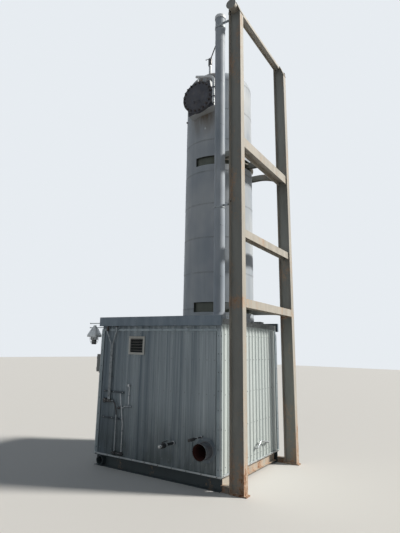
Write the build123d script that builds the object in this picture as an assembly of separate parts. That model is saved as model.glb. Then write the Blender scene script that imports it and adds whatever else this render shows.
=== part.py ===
from build123d import *
import math
import os

# Gas sweetening skid, millimetres, +Z up.
# Modelled from the near right corner of the building, on the ground: X runs along
# the front wall (the room lies on the minus side), Y runs from the front wall to the rear.
# At the end the whole part is moved so that the middle of its outer box is at x = y = 0.

# General
sheet = 3
fit = 0.3
over = 2

# Building
room_length = 2815
room_width = 2650
wall_top = 2715
wall = 75
rib_pitch = 152
rib_depth = 19
rib_crest = 44
rib_foot = 76
roof_thick = 76
roof_lap = 60
eave_z = 2678
eave_height = 182
eave_depth = 58
eave_out = 40
head_trim_z = 2581
head_trim_height = 44
head_trim_out = 4
trim_leg = 70
base_trim_out = 16
base_trim_height = 26
collar_flange = 20
collar_height = 80
collar_wall = 4
collar_gap = 10
curb_length = 240
curb_width = 200
curb_height = 55
curb_off = 645
curb_inset = 30

# Skid
skid_section = dict(depth=201, width=165, flange=10.2, web=6.2)
cross_section = dict(depth=160, width=100, flange=7.5, web=6)
cross_beams = 4
floor_thick = 8
tow_pipe_outer = 168.3
tow_pipe_wall = 11
tow_pipe_inset = 72
tow_pipe_out = 18

# Lifting frame beside the building
column_section = dict(depth=262, width=147, flange=11.2, web=6.6)
column_gap = 170
column_top = 9325
chamfer_run = 98
chamfer_drop = 270
chamfer_plate = 12
foot_thick = 20
foot_margin = 40
tie_section = dict(depth=100, width=100, flange=8, web=6)
light_rung = dict(depth=152, width=150, flange=8, web=7)
heavy_rung = dict(depth=203, width=195, flange=11, web=8)
low_rung_z = 3077
mid_rung_z = 4373
high_rung_z = 6215
set_back = 30
rail_width = 146
rail_leg = 64
rail_thick = 9
rail_gap = 4
trunnion_outer = 168.3
trunnion_reach = 180
trunnion_drop = 103
trunnion_back = 20
trunnion_plate = 12
trunnion_lip = 24

# Tower
vessel_x = -765
vessel_outer = 1372
vessel_wall = 16
lagging = 62
lagging_gap = 12
sheet_course = 730
hem_height = 24
hem_out = 2
skirt_top = 900
skirt_wall = 12
seam_top = 8170
crown_share = 0.9
knuckle_share = 0.173

# Saddles between the tower and the low and high rungs, in pockets of the tower's jacket
band_thick = 12
band_height = 180
band_reach = 102
arm_section = dict(depth=115, width=115, flange=8, web=8)
arm_inset = 43
saddle_clear = 30
ring_reach = 62
ring_out = 35
slot_height = 196
slot_reach = 1

# Manway
manway_z = 7638
manway_reach = 1006
manway_neck = 559
manway_neck_wall = 14
manway_flange = 730
manway_flange_thick = 40
manway_box_side = 650
manway_box_turn = 10
manway_box_gap = 2
davit_pipe = 57
davit_foot = 250
davit_knee = 372
davit_rise = 150
davit_tip = 47
davit_bend = 120
lug_spread = 110
lug_thick = 16
lug_side = 38
davit_collar = 8
hanger = 20

# Tall side pipe
side_pipe_x = -190
side_pipe_y = 300
side_pipe_outer = 214
side_pipe_rise = 115
side_pipe_bottom = 2400
cap_height = 95
cap_rim = 12
cap_round = 40
bracket_drop = 230
bracket_height = 60
bracket_thick = 8
clamp_z = 4965
clamp_height = 40

# Vent on the tower's head
vent_x = -780
vent_front = 425
vent_pipe = 60
vent_top = 8780
vent_valve_outer = 92
vent_valve_height = 190
vent_line_outer = 26
vent_line_z = 8930
vent_line_rise = 60

# Louvre, placed from the left end
louvre_left = 937
louvre_z = 2300
louvre_width = 353
louvre_height = 306
louvre_rim = 22
louvre_stand = 6
louvre_blades = 5
louvre_blade = 62
louvre_tilt = 40
hood_out = 34
hood_margin = 10

# Pipes through the front wall, placed from the right end
nozzle_x = -270
nozzle_z = 602
nozzle_outer = 273
nozzle_wall = 9.3
nozzle_reach = 225
nozzle_inside = 400
nozzle_ring = 400
nozzle_ring_thick = 4
nozzle_gap = 8
pipe_inside = 200
drain_x = -924
drain_z = 638
drain_outer = 48
drain_reach = 455
drain_union = 66
drain_union_length = 46
drain_body = 80
drain_body_length = 120
drain_plug = 46
drain_lever = 150
sample_x = -350
sample_z = 805
sample_outer = 24
sample_reach = 430
sample_knob = 46
sample_knob_length = 34

# Struts, conduits and hose, placed from the left end
strut_left = 145
strut_length = 540
upper_strut_z = 1395
lower_strut_z = 906
strut_side = 41
strut_depth = 21
strut_slot = 22
conduit = 27
left_conduit = 303
left_conduit_top = 172
right_conduit = 333
right_conduit_top = 419
conduit_knee_z = 2560
conduit_low_z = 2300
conduit_bend = 120
junction_left = 226
junction_z = 1223
junction_outer = 90
junction_body = 169
junction_height = 50
junction_depth = 62
hose_outer = 24
hose_fall = ((0, 0), (36, 0), (78, -32), (108, -84), (126, -144), (137, -206), (137, -265))
low_conduit_foot = 316
manifold_left = 475
manifold_length = 254
manifold_z = 288
manifold_outer = 30
manifold_valve = 58
tube_outer = 16
tube_top_left = 608
tube_knee_left = 700
tube_knee_z = 820
tube_bend = 400
stub_left = 812
stub_top = 1560
stub_foot = 1139
stub_head = 42

# Drain tube on the right end wall
end_tube_outer = 30
end_tube_out = 60
end_tube_y = (1410, 1561, 1979)
end_tube_z = (451, 558, 474)
end_tube_bend = 30

# Lamp and box on the left end
lamp_y = 120
lamp_x = 345
lamp_arm_z = 2703
lamp_arm_gap = 91
lamp_arm_out = 490
lamp_arm_bar = 16
lamp_plate_width = 80
lamp_plate_height = 160
lamp_plate_thick = 8
lamp_shade = 310
lamp_shade_height = 190
lamp_shade_top = 120
lamp_shade_rim = 40
lamp_jar = 160
lamp_jar_height = 66
lamp_tip = 100
lamp_tip_height = 90
end_box_out = 110
end_box_y = 10
end_box_width = 200
end_box_z = 1757
end_box_height = 350

# Door in the left end wall
door_width = 860
door_height = 2030
door_frame = 50
door_thick = 45
door_set_back = 12
door_gap = 3

# Places that follow from the sizes above
floor_z = skid_section["depth"]
floor_top = floor_z + floor_thick
roof_crest = wall_top + roof_thick + rib_depth
left_end = -room_length
vessel_y = room_width / 2
vessel_r = vessel_outer / 2
jacket_r = vessel_r + lagging
hem_r = jacket_r + hem_out
jacket_foot = roof_crest + fit
column_outer = column_gap + column_section["depth"]
column_x = column_gap + column_section["depth"] / 2
near_y = column_section["width"] / 2
far_y = room_width - near_y
web_y = near_y + column_section["web"] / 2
manway_face = vessel_y - manway_reach
manway_joint = manway_face + manway_flange_thick
manway_back = manway_joint + manway_flange_thick
side_pipe_top = column_top + side_pipe_rise
conduit_y = -strut_depth - conduit / 2

X, Y, Z = (1, 0, 0), (0, 1, 0), (0, 0, 1)
OUT = (0, -1, 0)
DOWN = (0, 0, -1)
nodes = {}


def add(name, *shapes):
    """Keep a piece under its node name, or a set of like pieces."""
    solids = [solid for shape in shapes for solid in shape.solids()]
    nodes[name] = solids[0] if len(solids) == 1 else Compound(solids)


def i_face(section):
    """I-section about the origin: flanges along local X, depth along local Y."""
    depth, width, web = section["depth"], section["width"], section["web"]
    side = (width - web) / 2
    recess = Rectangle(side, depth - 2 * section["flange"])
    off = (web + side) / 2
    return Rectangle(width, depth) - Pos(off, 0) * recess - Pos(-off, 0) * recess


def beam(section, start, along, across, length):
    """I-section beam; across is the direction of its flange width."""
    return extrude(Plane(origin=start, x_dir=across, z_dir=along) * i_face(section), length)


def block(x0, x1, y0, y1, z0, z1):
    """Box between two corners."""
    size = Box(x1 - x0, y1 - y0, z1 - z0)
    return Pos((x0 + x1) / 2, (y0 + y1) / 2, (z0 + z1) / 2) * size


def rod(start, along, radius, length):
    """Round bar from a point along a direction."""
    return extrude(Plane(origin=start, z_dir=along) * Circle(radius), length)


def tube(start, along, outer, inner, length):
    """Round tube given by its two radii."""
    ring = Circle(outer) - Circle(inner)
    return extrude(Plane(origin=start, z_dir=along) * ring, length)


def pipe_along(points, radius, bends):
    """Round bar along straight runs joined by arcs."""
    path = FilletPolyline(*points, radius=bends)
    start = Plane(origin=points[0], z_dir=Vector(*points[1]) - Vector(*points[0]))
    return sweep(start * Circle(radius), path)


def plate_xz(points, y0, y1):
    """Plate with an outline in X and Z, between two places along Y."""
    plane = Plane(origin=(0, y1, 0), x_dir=X, z_dir=OUT)
    return extrude(plane * make_face(Polyline(*points, close=True)), y1 - y0)


# Skid
def make_skid():
    half = skid_section["width"] / 2
    mid_z = floor_z / 2
    tow_x = left_end + tow_pipe_inset + tow_pipe_outer / 2
    hole = rod((tow_x, -over, mid_z), Y, tow_pipe_outer / 2 + fit, room_width + 2 * over)
    sides = [beam(skid_section, (left_end, y, mid_z), X, Y, room_length) for y in (half, room_width - half)]
    add("skid_runners", *[side - hole for side in sides])
    cross_half = cross_section["width"] / 2
    start = skid_section["width"]
    span = room_width - 2 * start
    free = room_length - tow_pipe_inset - tow_pipe_outer - 2 * cross_section["width"]
    step = free / (cross_beams - 1)
    beam_z = floor_z - cross_section["depth"] / 2
    places = [-cross_half - i * step for i in range(cross_beams)]
    add("skid_cross_beams", *[beam(cross_section, (x, start, beam_z), Y, X, span) for x in places])
    add("floor_plate", block(left_end, 0, 0, room_width, floor_z, floor_top))
    length = room_width + 2 * tow_pipe_out
    outer = tow_pipe_outer / 2
    add("tow_pipe", tube((tow_x, -tow_pipe_out, mid_z), Y, outer, outer - tow_pipe_wall, length))


# Ribbed panels
def siding(length, height, thick):
    """Panel along +X, its ribs towards -Y with their crests at y = 0."""
    count = int(length // rib_pitch)
    first = (length - count * rib_pitch) / 2
    points = [(0, rib_depth)]
    for i in range(count):
        middle = first + (i + 0.5) * rib_pitch
        points += [
            (middle - rib_foot / 2, rib_depth),
            (middle - rib_crest / 2, 0),
            (middle + rib_crest / 2, 0),
            (middle + rib_foot / 2, rib_depth),
        ]
    points += [(length, rib_depth), (length, thick), (0, thick)]
    return extrude(make_face(Polyline(*points, close=True)), height)


def make_walls():
    height = wall_top - floor_top
    front = Pos(left_end, 0, floor_top) * siding(room_length, height, wall)
    middle = left_end + louvre_left
    front -= block(
        middle - louvre_width / 2, middle + louvre_width / 2, -over, wall + over,
        louvre_z - louvre_height / 2, louvre_z + louvre_height / 2,
    )
    holes = (
        (nozzle_x, nozzle_z, nozzle_outer / 2 + nozzle_gap),
        (drain_x, drain_z, drain_outer / 2 + fit),
        (sample_x, sample_z, sample_outer / 2 + fit),
        (left_end + stub_left, stub_top - stub_head / 2, tube_outer / 2 + fit),
    )
    for x, z, radius in holes:
        front -= rod((x, -over, z), Y, radius, wall + 2 * over)
    add("front_wall", front)
    add("rear_wall", Pos(0, room_width, floor_top) * Rot(0, 0, 180) * siding(room_length, height, wall))
    end = room_width - 2 * wall
    add("right_end_wall", Pos(0, wall, floor_top) * Rot(0, 0, 90) * siding(end, height, wall))
    left = Pos(left_end, room_width - wall, floor_top) * Rot(0, 0, -90) * siding(end, height, wall)
    add("left_end_wall", left - doorway(door_frame, -over, wall + over))


# Door
def doorway(margin, depth0, depth1):
    """Block that fills the doorway, wider by a margin at both sides and the top."""
    half = door_width / 2 + margin
    return block(
        left_end + depth0, left_end + depth1, vessel_y - half, vessel_y + half,
        floor_top, floor_top + door_height + margin,
    )


def make_door():
    add("door_frame", doorway(door_frame, 0, wall) - doorway(0, -over, wall + over))
    add("door_leaf", doorway(-door_gap, door_set_back, door_set_back + door_thick))


# Trims along the edges of the building
def corner_trim(x, y, to_x, to_y):
    """Angle over an outer corner; to_x and to_y point along the walls."""
    low = floor_top + base_trim_height
    size = trim_leg + sheet
    middle = size / 2 - sheet
    outer = Pos(to_x * middle, to_y * middle) * Rectangle(size, size)
    angle = outer - Pos(to_x * trim_leg, to_y * trim_leg) * Rectangle(2 * trim_leg, 2 * trim_leg)
    return extrude(Pos(x, y, low) * angle, head_trim_z - low)


def make_trims():
    corners = ((0, 0, -1, 1), (0, room_width, -1, -1), (left_end, 0, 1, 1), (left_end, room_width, 1, -1))
    add("corner_trims", *[corner_trim(*corner) for corner in corners])
    out = base_trim_out
    top = floor_top + base_trim_height
    ring = block(left_end - out, out, -out, room_width + out, floor_top, top)
    add("base_trim", ring - block(left_end, 0, 0, room_width, floor_top - over, top + over))
    x0, x1 = left_end - sheet, sheet
    head_top = head_trim_z + head_trim_height
    add("head_trims", block(x0, x1, -head_trim_out, 0, head_trim_z, head_top),
        block(x0, x1, room_width, room_width + head_trim_out, head_trim_z, head_top))


# Roof
def eave(length):
    """Eave along +X with closed ends, its back towards -Y, open towards +Y and its foot at z = 0."""
    tray = block(0, length, 0, eave_depth, 0, eave_height)
    return tray - block(sheet, length - sheet, sheet, eave_depth + over, sheet, eave_height - sheet)


def roof_edge(x, to_x):
    """Angle over an end of the roof, with its top leg on the ribs."""
    leg = roof_lap * to_x
    face = Polyline(
        (x, wall_top), (x, roof_crest), (x + leg, roof_crest), (x + leg, roof_crest + sheet),
        (x - sheet * to_x, roof_crest + sheet), (x - sheet * to_x, wall_top), close=True,
    )
    plane = Plane(origin=(0, room_width, 0), x_dir=X, z_dir=OUT)
    return extrude(plane * make_face(face), room_width)


def make_roof():
    deck = Pos(0, 0, roof_crest) * Rot(-90, 0, 0) * Pos(left_end, 0, 0) * siding(
        room_length, room_width, roof_thick + rib_depth)
    deck = Pos(0, -deck.bounding_box().min.Y, wall_top - deck.bounding_box().min.Z) * deck
    deck -= rod((vessel_x, vessel_y, wall_top - over), Z, vessel_r + collar_gap, roof_crest)
    deck -= rod((side_pipe_x, side_pipe_y, wall_top - over), Z, side_pipe_outer / 2 + fit, roof_crest)
    add("roof_deck", deck)
    round_collar = rod((vessel_x, vessel_y, wall_top), Z, jacket_r + collar_flange + fit, roof_crest)
    add("roof_edges", roof_edge(0, -1) - round_collar, roof_edge(left_end, 1))
    length = room_length + 2 * eave_out
    front = Pos(left_end - eave_out, -eave_depth, eave_z) * eave(length)
    rear = Pos(eave_out, room_width + eave_depth, eave_z) * Rot(0, 0, 180) * eave(length)
    add("eaves", front, rear)
    foot = (vessel_x, vessel_y, roof_crest)
    inner = jacket_r + fit
    collar = tube(foot, Z, jacket_r + collar_flange, inner, collar_wall)
    add("tower_collar", collar + tube(foot, Z, inner + collar_wall, inner, collar_height))
    right = -roof_lap - curb_inset
    front = vessel_y + curb_off
    back = front + curb_width
    add("roof_curb", block(right - curb_length, right, front, back, roof_crest, roof_crest + curb_height))


# Tower
def dish(radius, crown, knuckle):
    """Solid dished end standing on z = 0: a knuckle arc that runs into a crown arc."""
    centre = radius - knuckle
    drop = math.sqrt((crown - knuckle) ** 2 - centre ** 2)
    turn = math.degrees(math.atan2(drop, centre))
    rim = CenterArc((centre, 0), knuckle, 0, turn)
    cap = CenterArc((0, -drop), crown, turn, 90 - turn)
    side = make_face([rim, cap, Line((0, crown - drop), (0, 0)), Line((0, 0), (radius, 0))])
    return revolve(Plane.XZ * side, Axis.Z)


def skin(offset):
    """Dished end solid at an offset from the vessel's outer face."""
    crown, knuckle = vessel_outer * crown_share, vessel_outer * knuckle_share
    return dish(vessel_r + offset, crown + offset, knuckle + offset)


def wedge(reach, radius, z0, z1):
    """Sector of a cylinder about the tower, reaching as far to both sides of +X."""
    turns = [math.radians(reach * share) for share in (-1, -0.5, 0, 0.5, 1)]
    rim = [(radius * math.cos(turn), radius * math.sin(turn)) for turn in turns]
    sector = extrude(make_face(Polyline((0, 0), *rim, close=True)), z1 - z0)
    return Pos(vessel_x, vessel_y, z0) * sector


def make_tower():
    top = Pos(vessel_x, vessel_y, seam_top)
    foot = Pos(vessel_x, vessel_y, skirt_top - fit) * Rot(180, 0, 0)
    axis_at = (vessel_x, vessel_y)
    add("skirt", tube((*axis_at, floor_top), Z, vessel_r, vessel_r - skirt_wall, skirt_top - floor_top))
    bore_r = vessel_r - vessel_wall
    add("vessel_shell", tube((*axis_at, skirt_top), Z, vessel_r, bore_r, seam_top - skirt_top))
    add("top_head", top * (skin(0) - skin(-vessel_wall)))
    inset = -skirt_wall - fit
    add("bottom_head", foot * (skin(inset) - skin(inset - vessel_wall)))
    add("jacket_dome", top * (skin(lagging) - skin(lagging_gap)))
    inner, height = vessel_r + lagging_gap, seam_top - jacket_foot
    jacket = tube((*axis_at, jacket_foot), Z, jacket_r, inner, height)
    for i in range(1, int(height // sheet_course) + 1):
        jacket += tube((*axis_at, seam_top - i * sheet_course), Z, hem_r, inner, hem_height)
    for z in (low_rung_z, high_rung_z):
        jacket -= wedge(band_reach + slot_reach, 3 * jacket_r, z - slot_height / 2, z + slot_height / 2)
    jacket -= rod((*axis_at, manway_z), OUT, manway_neck / 2 + fit, vessel_y)
    add("jacket", jacket)


# Lifting frame
def make_columns():
    top, outer = column_top, column_outer
    run, drop = chamfer_run, chamfer_drop
    slope = math.hypot(run, drop)
    out_x, out_z = chamfer_plate * drop / slope, chamfer_plate * run / slope
    cut = ((outer + over, top + over), (outer + over, top - drop), (outer, top - drop), (outer - run, top),
           (outer - run, top + over))
    plate = ((outer - run, top), (outer, top - drop), (outer + out_x, top - drop + out_z),
             (outer - run + out_x, top + out_z))
    columns, trunnions, feet = [], [], []
    for y, side in ((near_y, -1), (far_y, 1)):
        column = beam(column_section, (column_x, y, foot_thick), Z, Y, top - foot_thick)
        column -= plate_xz(cut, y - near_y - over, y + near_y + over)
        columns.append(column + plate_xz(plate, y - near_y, y + near_y))
        x, z = column_x - trunnion_back, top - trunnion_drop
        start = y + side * column_section["web"] / 2
        pin = rod((x, start, z), (0, side, 0), trunnion_outer / 2, trunnion_reach)
        lip = rod((x, start + side * trunnion_reach, z), (0, side, 0),
                  trunnion_outer / 2 + trunnion_lip, trunnion_plate)
        trunnions.append(pin + lip)
        foot = block(column_gap, outer + foot_margin, y - near_y, y + near_y, 0, foot_thick)
        feet.append(foot + beam(tie_section, (0, y, tie_section["depth"] / 2), X, Y, column_gap))
    add("columns", *columns)
    add("trunnions", *trunnions)
    add("column_feet", *feet)


def make_rungs():
    bars = []
    length = room_width - 2 * web_y
    tip = column_section["width"]
    flange_face = column_outer - column_section["flange"] - fit
    for z, section, outer in (
        (low_rung_z, light_rung, column_outer),
        (mid_rung_z, light_rung, column_outer - set_back),
        (high_rung_z, heavy_rung, column_outer - set_back),
    ):
        bar = beam(section, (outer - section["depth"] / 2, web_y, z), Y, Z, length)
        if outer > flange_face:
            half = section["width"] / 2 + over
            for y in (0, room_width - tip):
                bar -= block(flange_face, outer + over, y, y + tip, z - half, z + half)
        bars.append(bar)
    add("rungs", *bars)
    rail = Rectangle(rail_width, rail_leg)
    rail -= Pos(0, -rail_thick) * Rectangle(rail_width - 2 * rail_thick, rail_leg)
    x = column_gap + column_section["flange"] + rail_gap + rail_width / 2
    plane = Plane(origin=(x, room_width - web_y, column_top - rail_leg / 2), x_dir=X, z_dir=OUT)
    add("top_rail", extrude(plane * rail, length))


def yoke(face_x, inset):
    """Plan of a saddle filled in between its arms, which run beside the tower and flare along the rung."""
    half = room_width / 2 - column_section["width"] - saddle_clear
    hug = jacket_r - arm_inset + arm_section["depth"]
    flare = half - hug
    far = face_x - flare
    reach = face_x - vessel_x
    plan = Pos(vessel_x + reach / 2, vessel_y) * Rectangle(reach, 2 * half)
    for side in (-1, 1):
        y = vessel_y + side * half
        plan -= Pos(far, y) * Circle(flare + inset)
        plan -= Pos((vessel_x - over + far) / 2, y) * Rectangle(far - vessel_x + over, 2 * (flare + inset))
    return plan


def saddle(z, face_x):
    """Band round the shell, a ring plate and three H-section arms that end on a rung's inner face."""
    deep, high, flange, web = (arm_section[key] for key in ("depth", "width", "flange", "web"))
    length = face_x - vessel_x
    middle = Pos(vessel_x + length / 2, vessel_y)
    whole = yoke(face_x, 0)
    disc = Pos(vessel_x, vessel_y) * Circle(jacket_r + ring_out)
    plate = whole - (yoke(face_x, deep) - disc) + middle * Rectangle(length, deep)
    flanges = whole - yoke(face_x, flange) + (yoke(face_x, deep - flange) - yoke(face_x, deep))
    flanges += middle * Rectangle(length, deep) - middle * Rectangle(length + over, deep - 2 * flange)
    arms = extrude(Pos(0, 0, z - web / 2) * plate, web) + extrude(Pos(0, 0, z - high / 2) * flanges, high)
    arms &= wedge(ring_reach, 6 * jacket_r, z - high, z + high)
    arms -= rod((vessel_x, vessel_y, z - high), Z, vessel_r + fit, 2 * high)
    band = tube((vessel_x, vessel_y, z - band_height / 2), Z,
                vessel_r + fit + band_thick, vessel_r + fit, band_height)
    return arms + (band & wedge(band_reach, 3 * jacket_r, z - band_height, z + band_height))


def make_saddles():
    low = saddle(low_rung_z, column_outer - light_rung["depth"])
    add("saddles", low, saddle(high_rung_z, column_outer - set_back - heavy_rung["depth"]))


# Manway on the upper shell
def make_manway():
    axis = (vessel_x, vessel_y, manway_z)
    inner = manway_neck / 2 - manway_neck_wall
    shell = rod((vessel_x, vessel_y, manway_z - manway_flange), Z, vessel_r + fit, 2 * manway_flange)
    neck = tube(axis, OUT, manway_neck / 2, inner, vessel_y - manway_back) - shell
    neck += tube((vessel_x, manway_back, manway_z), OUT, manway_flange / 2, inner, manway_flange_thick)
    post_x = vessel_x + (manway_flange + davit_pipe) / 2 + fit
    post_y = manway_face + manway_flange_thick / 2
    hole = rod((post_x, post_y, manway_z - manway_flange), Z, davit_pipe / 2 + fit, 2 * manway_flange)
    for z in (manway_z - lug_spread, manway_z + lug_spread):
        low, high = z - lug_thick / 2, z + lug_thick / 2
        reach = post_x + lug_side
        neck += block(vessel_x + inner, reach, manway_joint + fit, manway_back, low, high)
        neck += block(vessel_x + manway_flange / 2 + fit, reach, post_y - lug_side, manway_back, low, high)
    add("manway_neck", neck - hole)
    add("manway_cover", rod((vessel_x, manway_joint, manway_z), OUT, manway_flange / 2, manway_flange_thick))
    start = manway_back + manway_box_gap
    plane = Plane(origin=(vessel_x, start, manway_z), x_dir=X, z_dir=OUT)
    square = Rot(0, 0, manway_box_turn) * Rectangle(manway_box_side, manway_box_side)
    box = extrude(plane * square, start - vessel_y)
    box -= rod((vessel_x, start - over, manway_z), Y, manway_neck / 2 + fit, vessel_y)
    box -= rod((vessel_x, vessel_y, manway_z - manway_box_side), Z, hem_r + fit, 2 * manway_box_side)
    add("manway_box", box)
    foot_z, knee_z = manway_z - davit_foot, manway_z + davit_knee
    tip_x = vessel_x - davit_tip
    path = ((post_x, post_y, foot_z), (post_x, post_y, knee_z), (tip_x, post_y, knee_z + davit_rise))
    arm = pipe_along(path, davit_pipe / 2, davit_bend)
    seat = manway_z - lug_spread + lug_thick / 2
    arm += tube((post_x, post_y, seat), Z, davit_pipe / 2 + davit_collar, davit_pipe / 2, lug_thick)
    hook_z = knee_z + davit_rise * (post_x - vessel_x) / (post_x - tip_x)
    edge_z = manway_z + manway_flange / 2
    arm += rod((vessel_x, post_y, edge_z), Z, hanger / 2, hook_z - edge_z)
    add("davit", arm)


# Tall pipe beside the tower
def make_side_pipe():
    radius = side_pipe_outer / 2
    axis_at = (side_pipe_x, side_pipe_y)
    cap_z = side_pipe_top - cap_height
    add("side_pipe", rod((*axis_at, side_pipe_bottom), Z, radius, cap_z - side_pipe_bottom))
    cap = rod((*axis_at, cap_z), Z, radius + cap_rim, cap_height)
    add("side_pipe_cap", fillet(cap.edges().group_by(Axis.Z)[-1], cap_round))
    top_bracket = pipe_bracket(column_top - bracket_drop, bracket_height)
    add("side_pipe_brackets", top_bracket, pipe_bracket(clamp_z, clamp_height))


def pipe_bracket(z, height):
    """Ring round the tall pipe with an arm and a foot on the near column."""
    radius = side_pipe_outer / 2
    axis_at = (side_pipe_x, side_pipe_y)
    face = column_gap - fit
    ring = tube((*axis_at, z), Z, radius + fit + bracket_thick, radius + fit, height)
    front = side_pipe_y - radius - bracket_thick
    arm = block(side_pipe_x, face, front, front + bracket_thick, z, z + height)
    arm -= rod((*axis_at, z - over), Z, radius + fit, height + 2 * over)
    foot = block(face - bracket_thick, face, 0, front + bracket_thick, z, z + height)
    return ring + arm + foot


# Vent line from the tower's head to the tall pipe
def make_vent():
    y = vessel_y - vent_front
    stem = rod((vent_x, y, seam_top), Z, vent_pipe / 2, vent_top - seam_top)
    add("vent_stem", stem - Pos(vessel_x, vessel_y, seam_top) * skin(lagging + fit))
    body = rod((vent_x, y, vent_top), Z, vent_valve_outer / 2, vent_valve_height)
    body = chamfer(body.edges().group_by(Axis.Z)[-1], vent_valve_outer / 6)
    add("vent_valve", body)
    start = Vector(vent_x, y, vent_line_z)
    end = Vector(side_pipe_x, side_pipe_y, vent_line_z + vent_line_rise)
    along = end - start
    line = rod(start, along, vent_line_outer / 2, along.length)
    line -= rod((vent_x, y, vent_top), Z, vent_valve_outer / 2, vent_valve_height)
    line -= rod((side_pipe_x, side_pipe_y, vent_top), Z, side_pipe_outer / 2, vent_top)
    add("vent_line", line)


# Louvre in the front wall
def make_louvre():
    middle = left_end + louvre_left
    half_x, half_z = louvre_width / 2 - fit, louvre_height / 2 - fit
    rim = louvre_rim
    frame = block(middle - half_x - rim, middle + half_x + rim, -louvre_stand, 0,
                  louvre_z - half_z - rim, louvre_z + half_z + rim)
    frame += block(middle - half_x, middle + half_x, -louvre_stand, wall,
                   louvre_z - half_z, louvre_z + half_z)
    frame -= block(middle - half_x + rim, middle + half_x - rim, -louvre_stand - over, wall + over,
                   louvre_z - half_z + rim, louvre_z + half_z - rim)
    inside = 2 * (half_z - rim)
    pitch = inside / louvre_blades
    for i in range(louvre_blades):
        z = louvre_z - inside / 2 + (i + 0.5) * pitch
        blade = Box(2 * (half_x - rim), louvre_blade, sheet)
        frame += Pos(middle, wall / 3, z) * Rot(-louvre_tilt, 0, 0) * blade
    hood_x = half_x + rim + hood_margin
    hood_z = louvre_z + half_z + rim
    frame += block(middle - hood_x, middle + hood_x, -louvre_stand - hood_out, 0, hood_z, hood_z + sheet)
    add("louvre", frame)


# Nozzle, drain and sample pipe
def make_pipes():
    radius = nozzle_outer / 2
    add("inlet_nozzle", tube((nozzle_x, -nozzle_reach, nozzle_z), Y, radius, radius - nozzle_wall,
                             nozzle_reach + nozzle_inside))
    add("nozzle_ring", tube((nozzle_x, 0, nozzle_z), OUT, nozzle_ring / 2, radius + fit, nozzle_ring_thick))
    body_y = -drain_reach + drain_plug + drain_body_length
    pipe = rod((drain_x, pipe_inside, drain_z), OUT, drain_outer / 2, pipe_inside - body_y)
    pipe += rod((drain_x, body_y + drain_union_length, drain_z), OUT, drain_union / 2, drain_union_length)
    add("drain_pipe", pipe)
    body = rod((drain_x, body_y, drain_z), OUT, drain_body / 2, drain_body_length)
    body = chamfer(body.edges().group_by(Axis.Y)[0], drain_body / 8)
    stem_y = body_y - drain_body_length / 2
    body += rod((drain_x, stem_y, drain_z), Z, drain_body / 6, drain_body * 0.8)
    lever_z = drain_z + drain_body * 0.7
    body += block(drain_x - drain_body / 8, drain_x + drain_body / 8, stem_y - sheet, stem_y + drain_lever,
                  lever_z, lever_z + 2 * sheet)
    add("drain_valve", body)
    add("drain_plug", rod((drain_x, body_y - drain_body_length, drain_z), OUT, drain_outer / 2, drain_plug))
    knob_y = -sample_reach + sample_knob_length
    add("sample_pipe", rod((sample_x, pipe_inside, sample_z), OUT, sample_outer / 2, pipe_inside - knob_y))
    knob = rod((sample_x, knob_y, sample_z), OUT, sample_knob / 2, sample_knob_length)
    add("sample_knob", chamfer(knob.edges().group_by(Axis.Y)[0], sample_knob / 8))


# Struts, conduits and hose on the front wall
def strut(z):
    """Slotted channel on the wall's crests, its open side outwards."""
    x0 = left_end + strut_left
    x1 = x0 + strut_length
    half = strut_side / 2
    bar = block(x0, x1, -strut_depth, 0, z - half, z + half)
    bar -= block(x0 - over, x1 + over, -strut_depth - over, -sheet, z - strut_slot / 2, z + strut_slot / 2)
    return bar - block(x0 - over, x1 + over, sheet - strut_depth, -sheet, z - half + sheet, z + half - sheet)


def make_conduits():
    add("wall_struts", strut(upper_strut_z), strut(lower_strut_z))
    y = conduit_y
    body_x = left_end + junction_left
    body_top = junction_z + junction_height / 2
    drops = []
    for top, run in ((left_conduit_top, left_conduit), (right_conduit_top, right_conduit)):
        route = (
            (left_end + top, y, eave_z), (left_end + top, y, conduit_knee_z),
            (left_end + run, y, conduit_low_z), (left_end + run, y, body_top),
        )
        drops.append(pipe_along(route, conduit / 2, conduit_bend))
    cover = rod((body_x, 0, junction_z), OUT, junction_outer / 2, junction_depth)
    body = block(body_x, body_x + junction_body, -junction_depth + sheet, 0,
                 junction_z - junction_height / 2, body_top)
    add("junction", cover + body)
    start = body_x + junction_body
    route = [(start + dx, y, junction_z + dz) for dx, dz in hose_fall]
    bends = [hose_radius(route, i) for i in range(1, len(route) - 1)]
    print("hose radii", [round(bend) for bend in bends])
    add("hose", pipe_along(route, hose_outer / 2, bends))
    end_x, end_z = route[-1][0], route[-1][2]
    drops.append(rod((end_x, y, end_z), DOWN, conduit / 2, end_z - low_conduit_foot))
    add("conduits", *drops)
    make_manifold(end_x)


def hose_radius(route, i):
    """Largest arc that the two runs beside a corner leave room for."""
    before = Vector(*route[i]) - Vector(*route[i - 1])
    after = Vector(*route[i + 1]) - Vector(*route[i])
    turn = math.radians(before.get_angle(after))
    return 0.45 * min(before.length, after.length) / math.tan(turn / 2)


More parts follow.
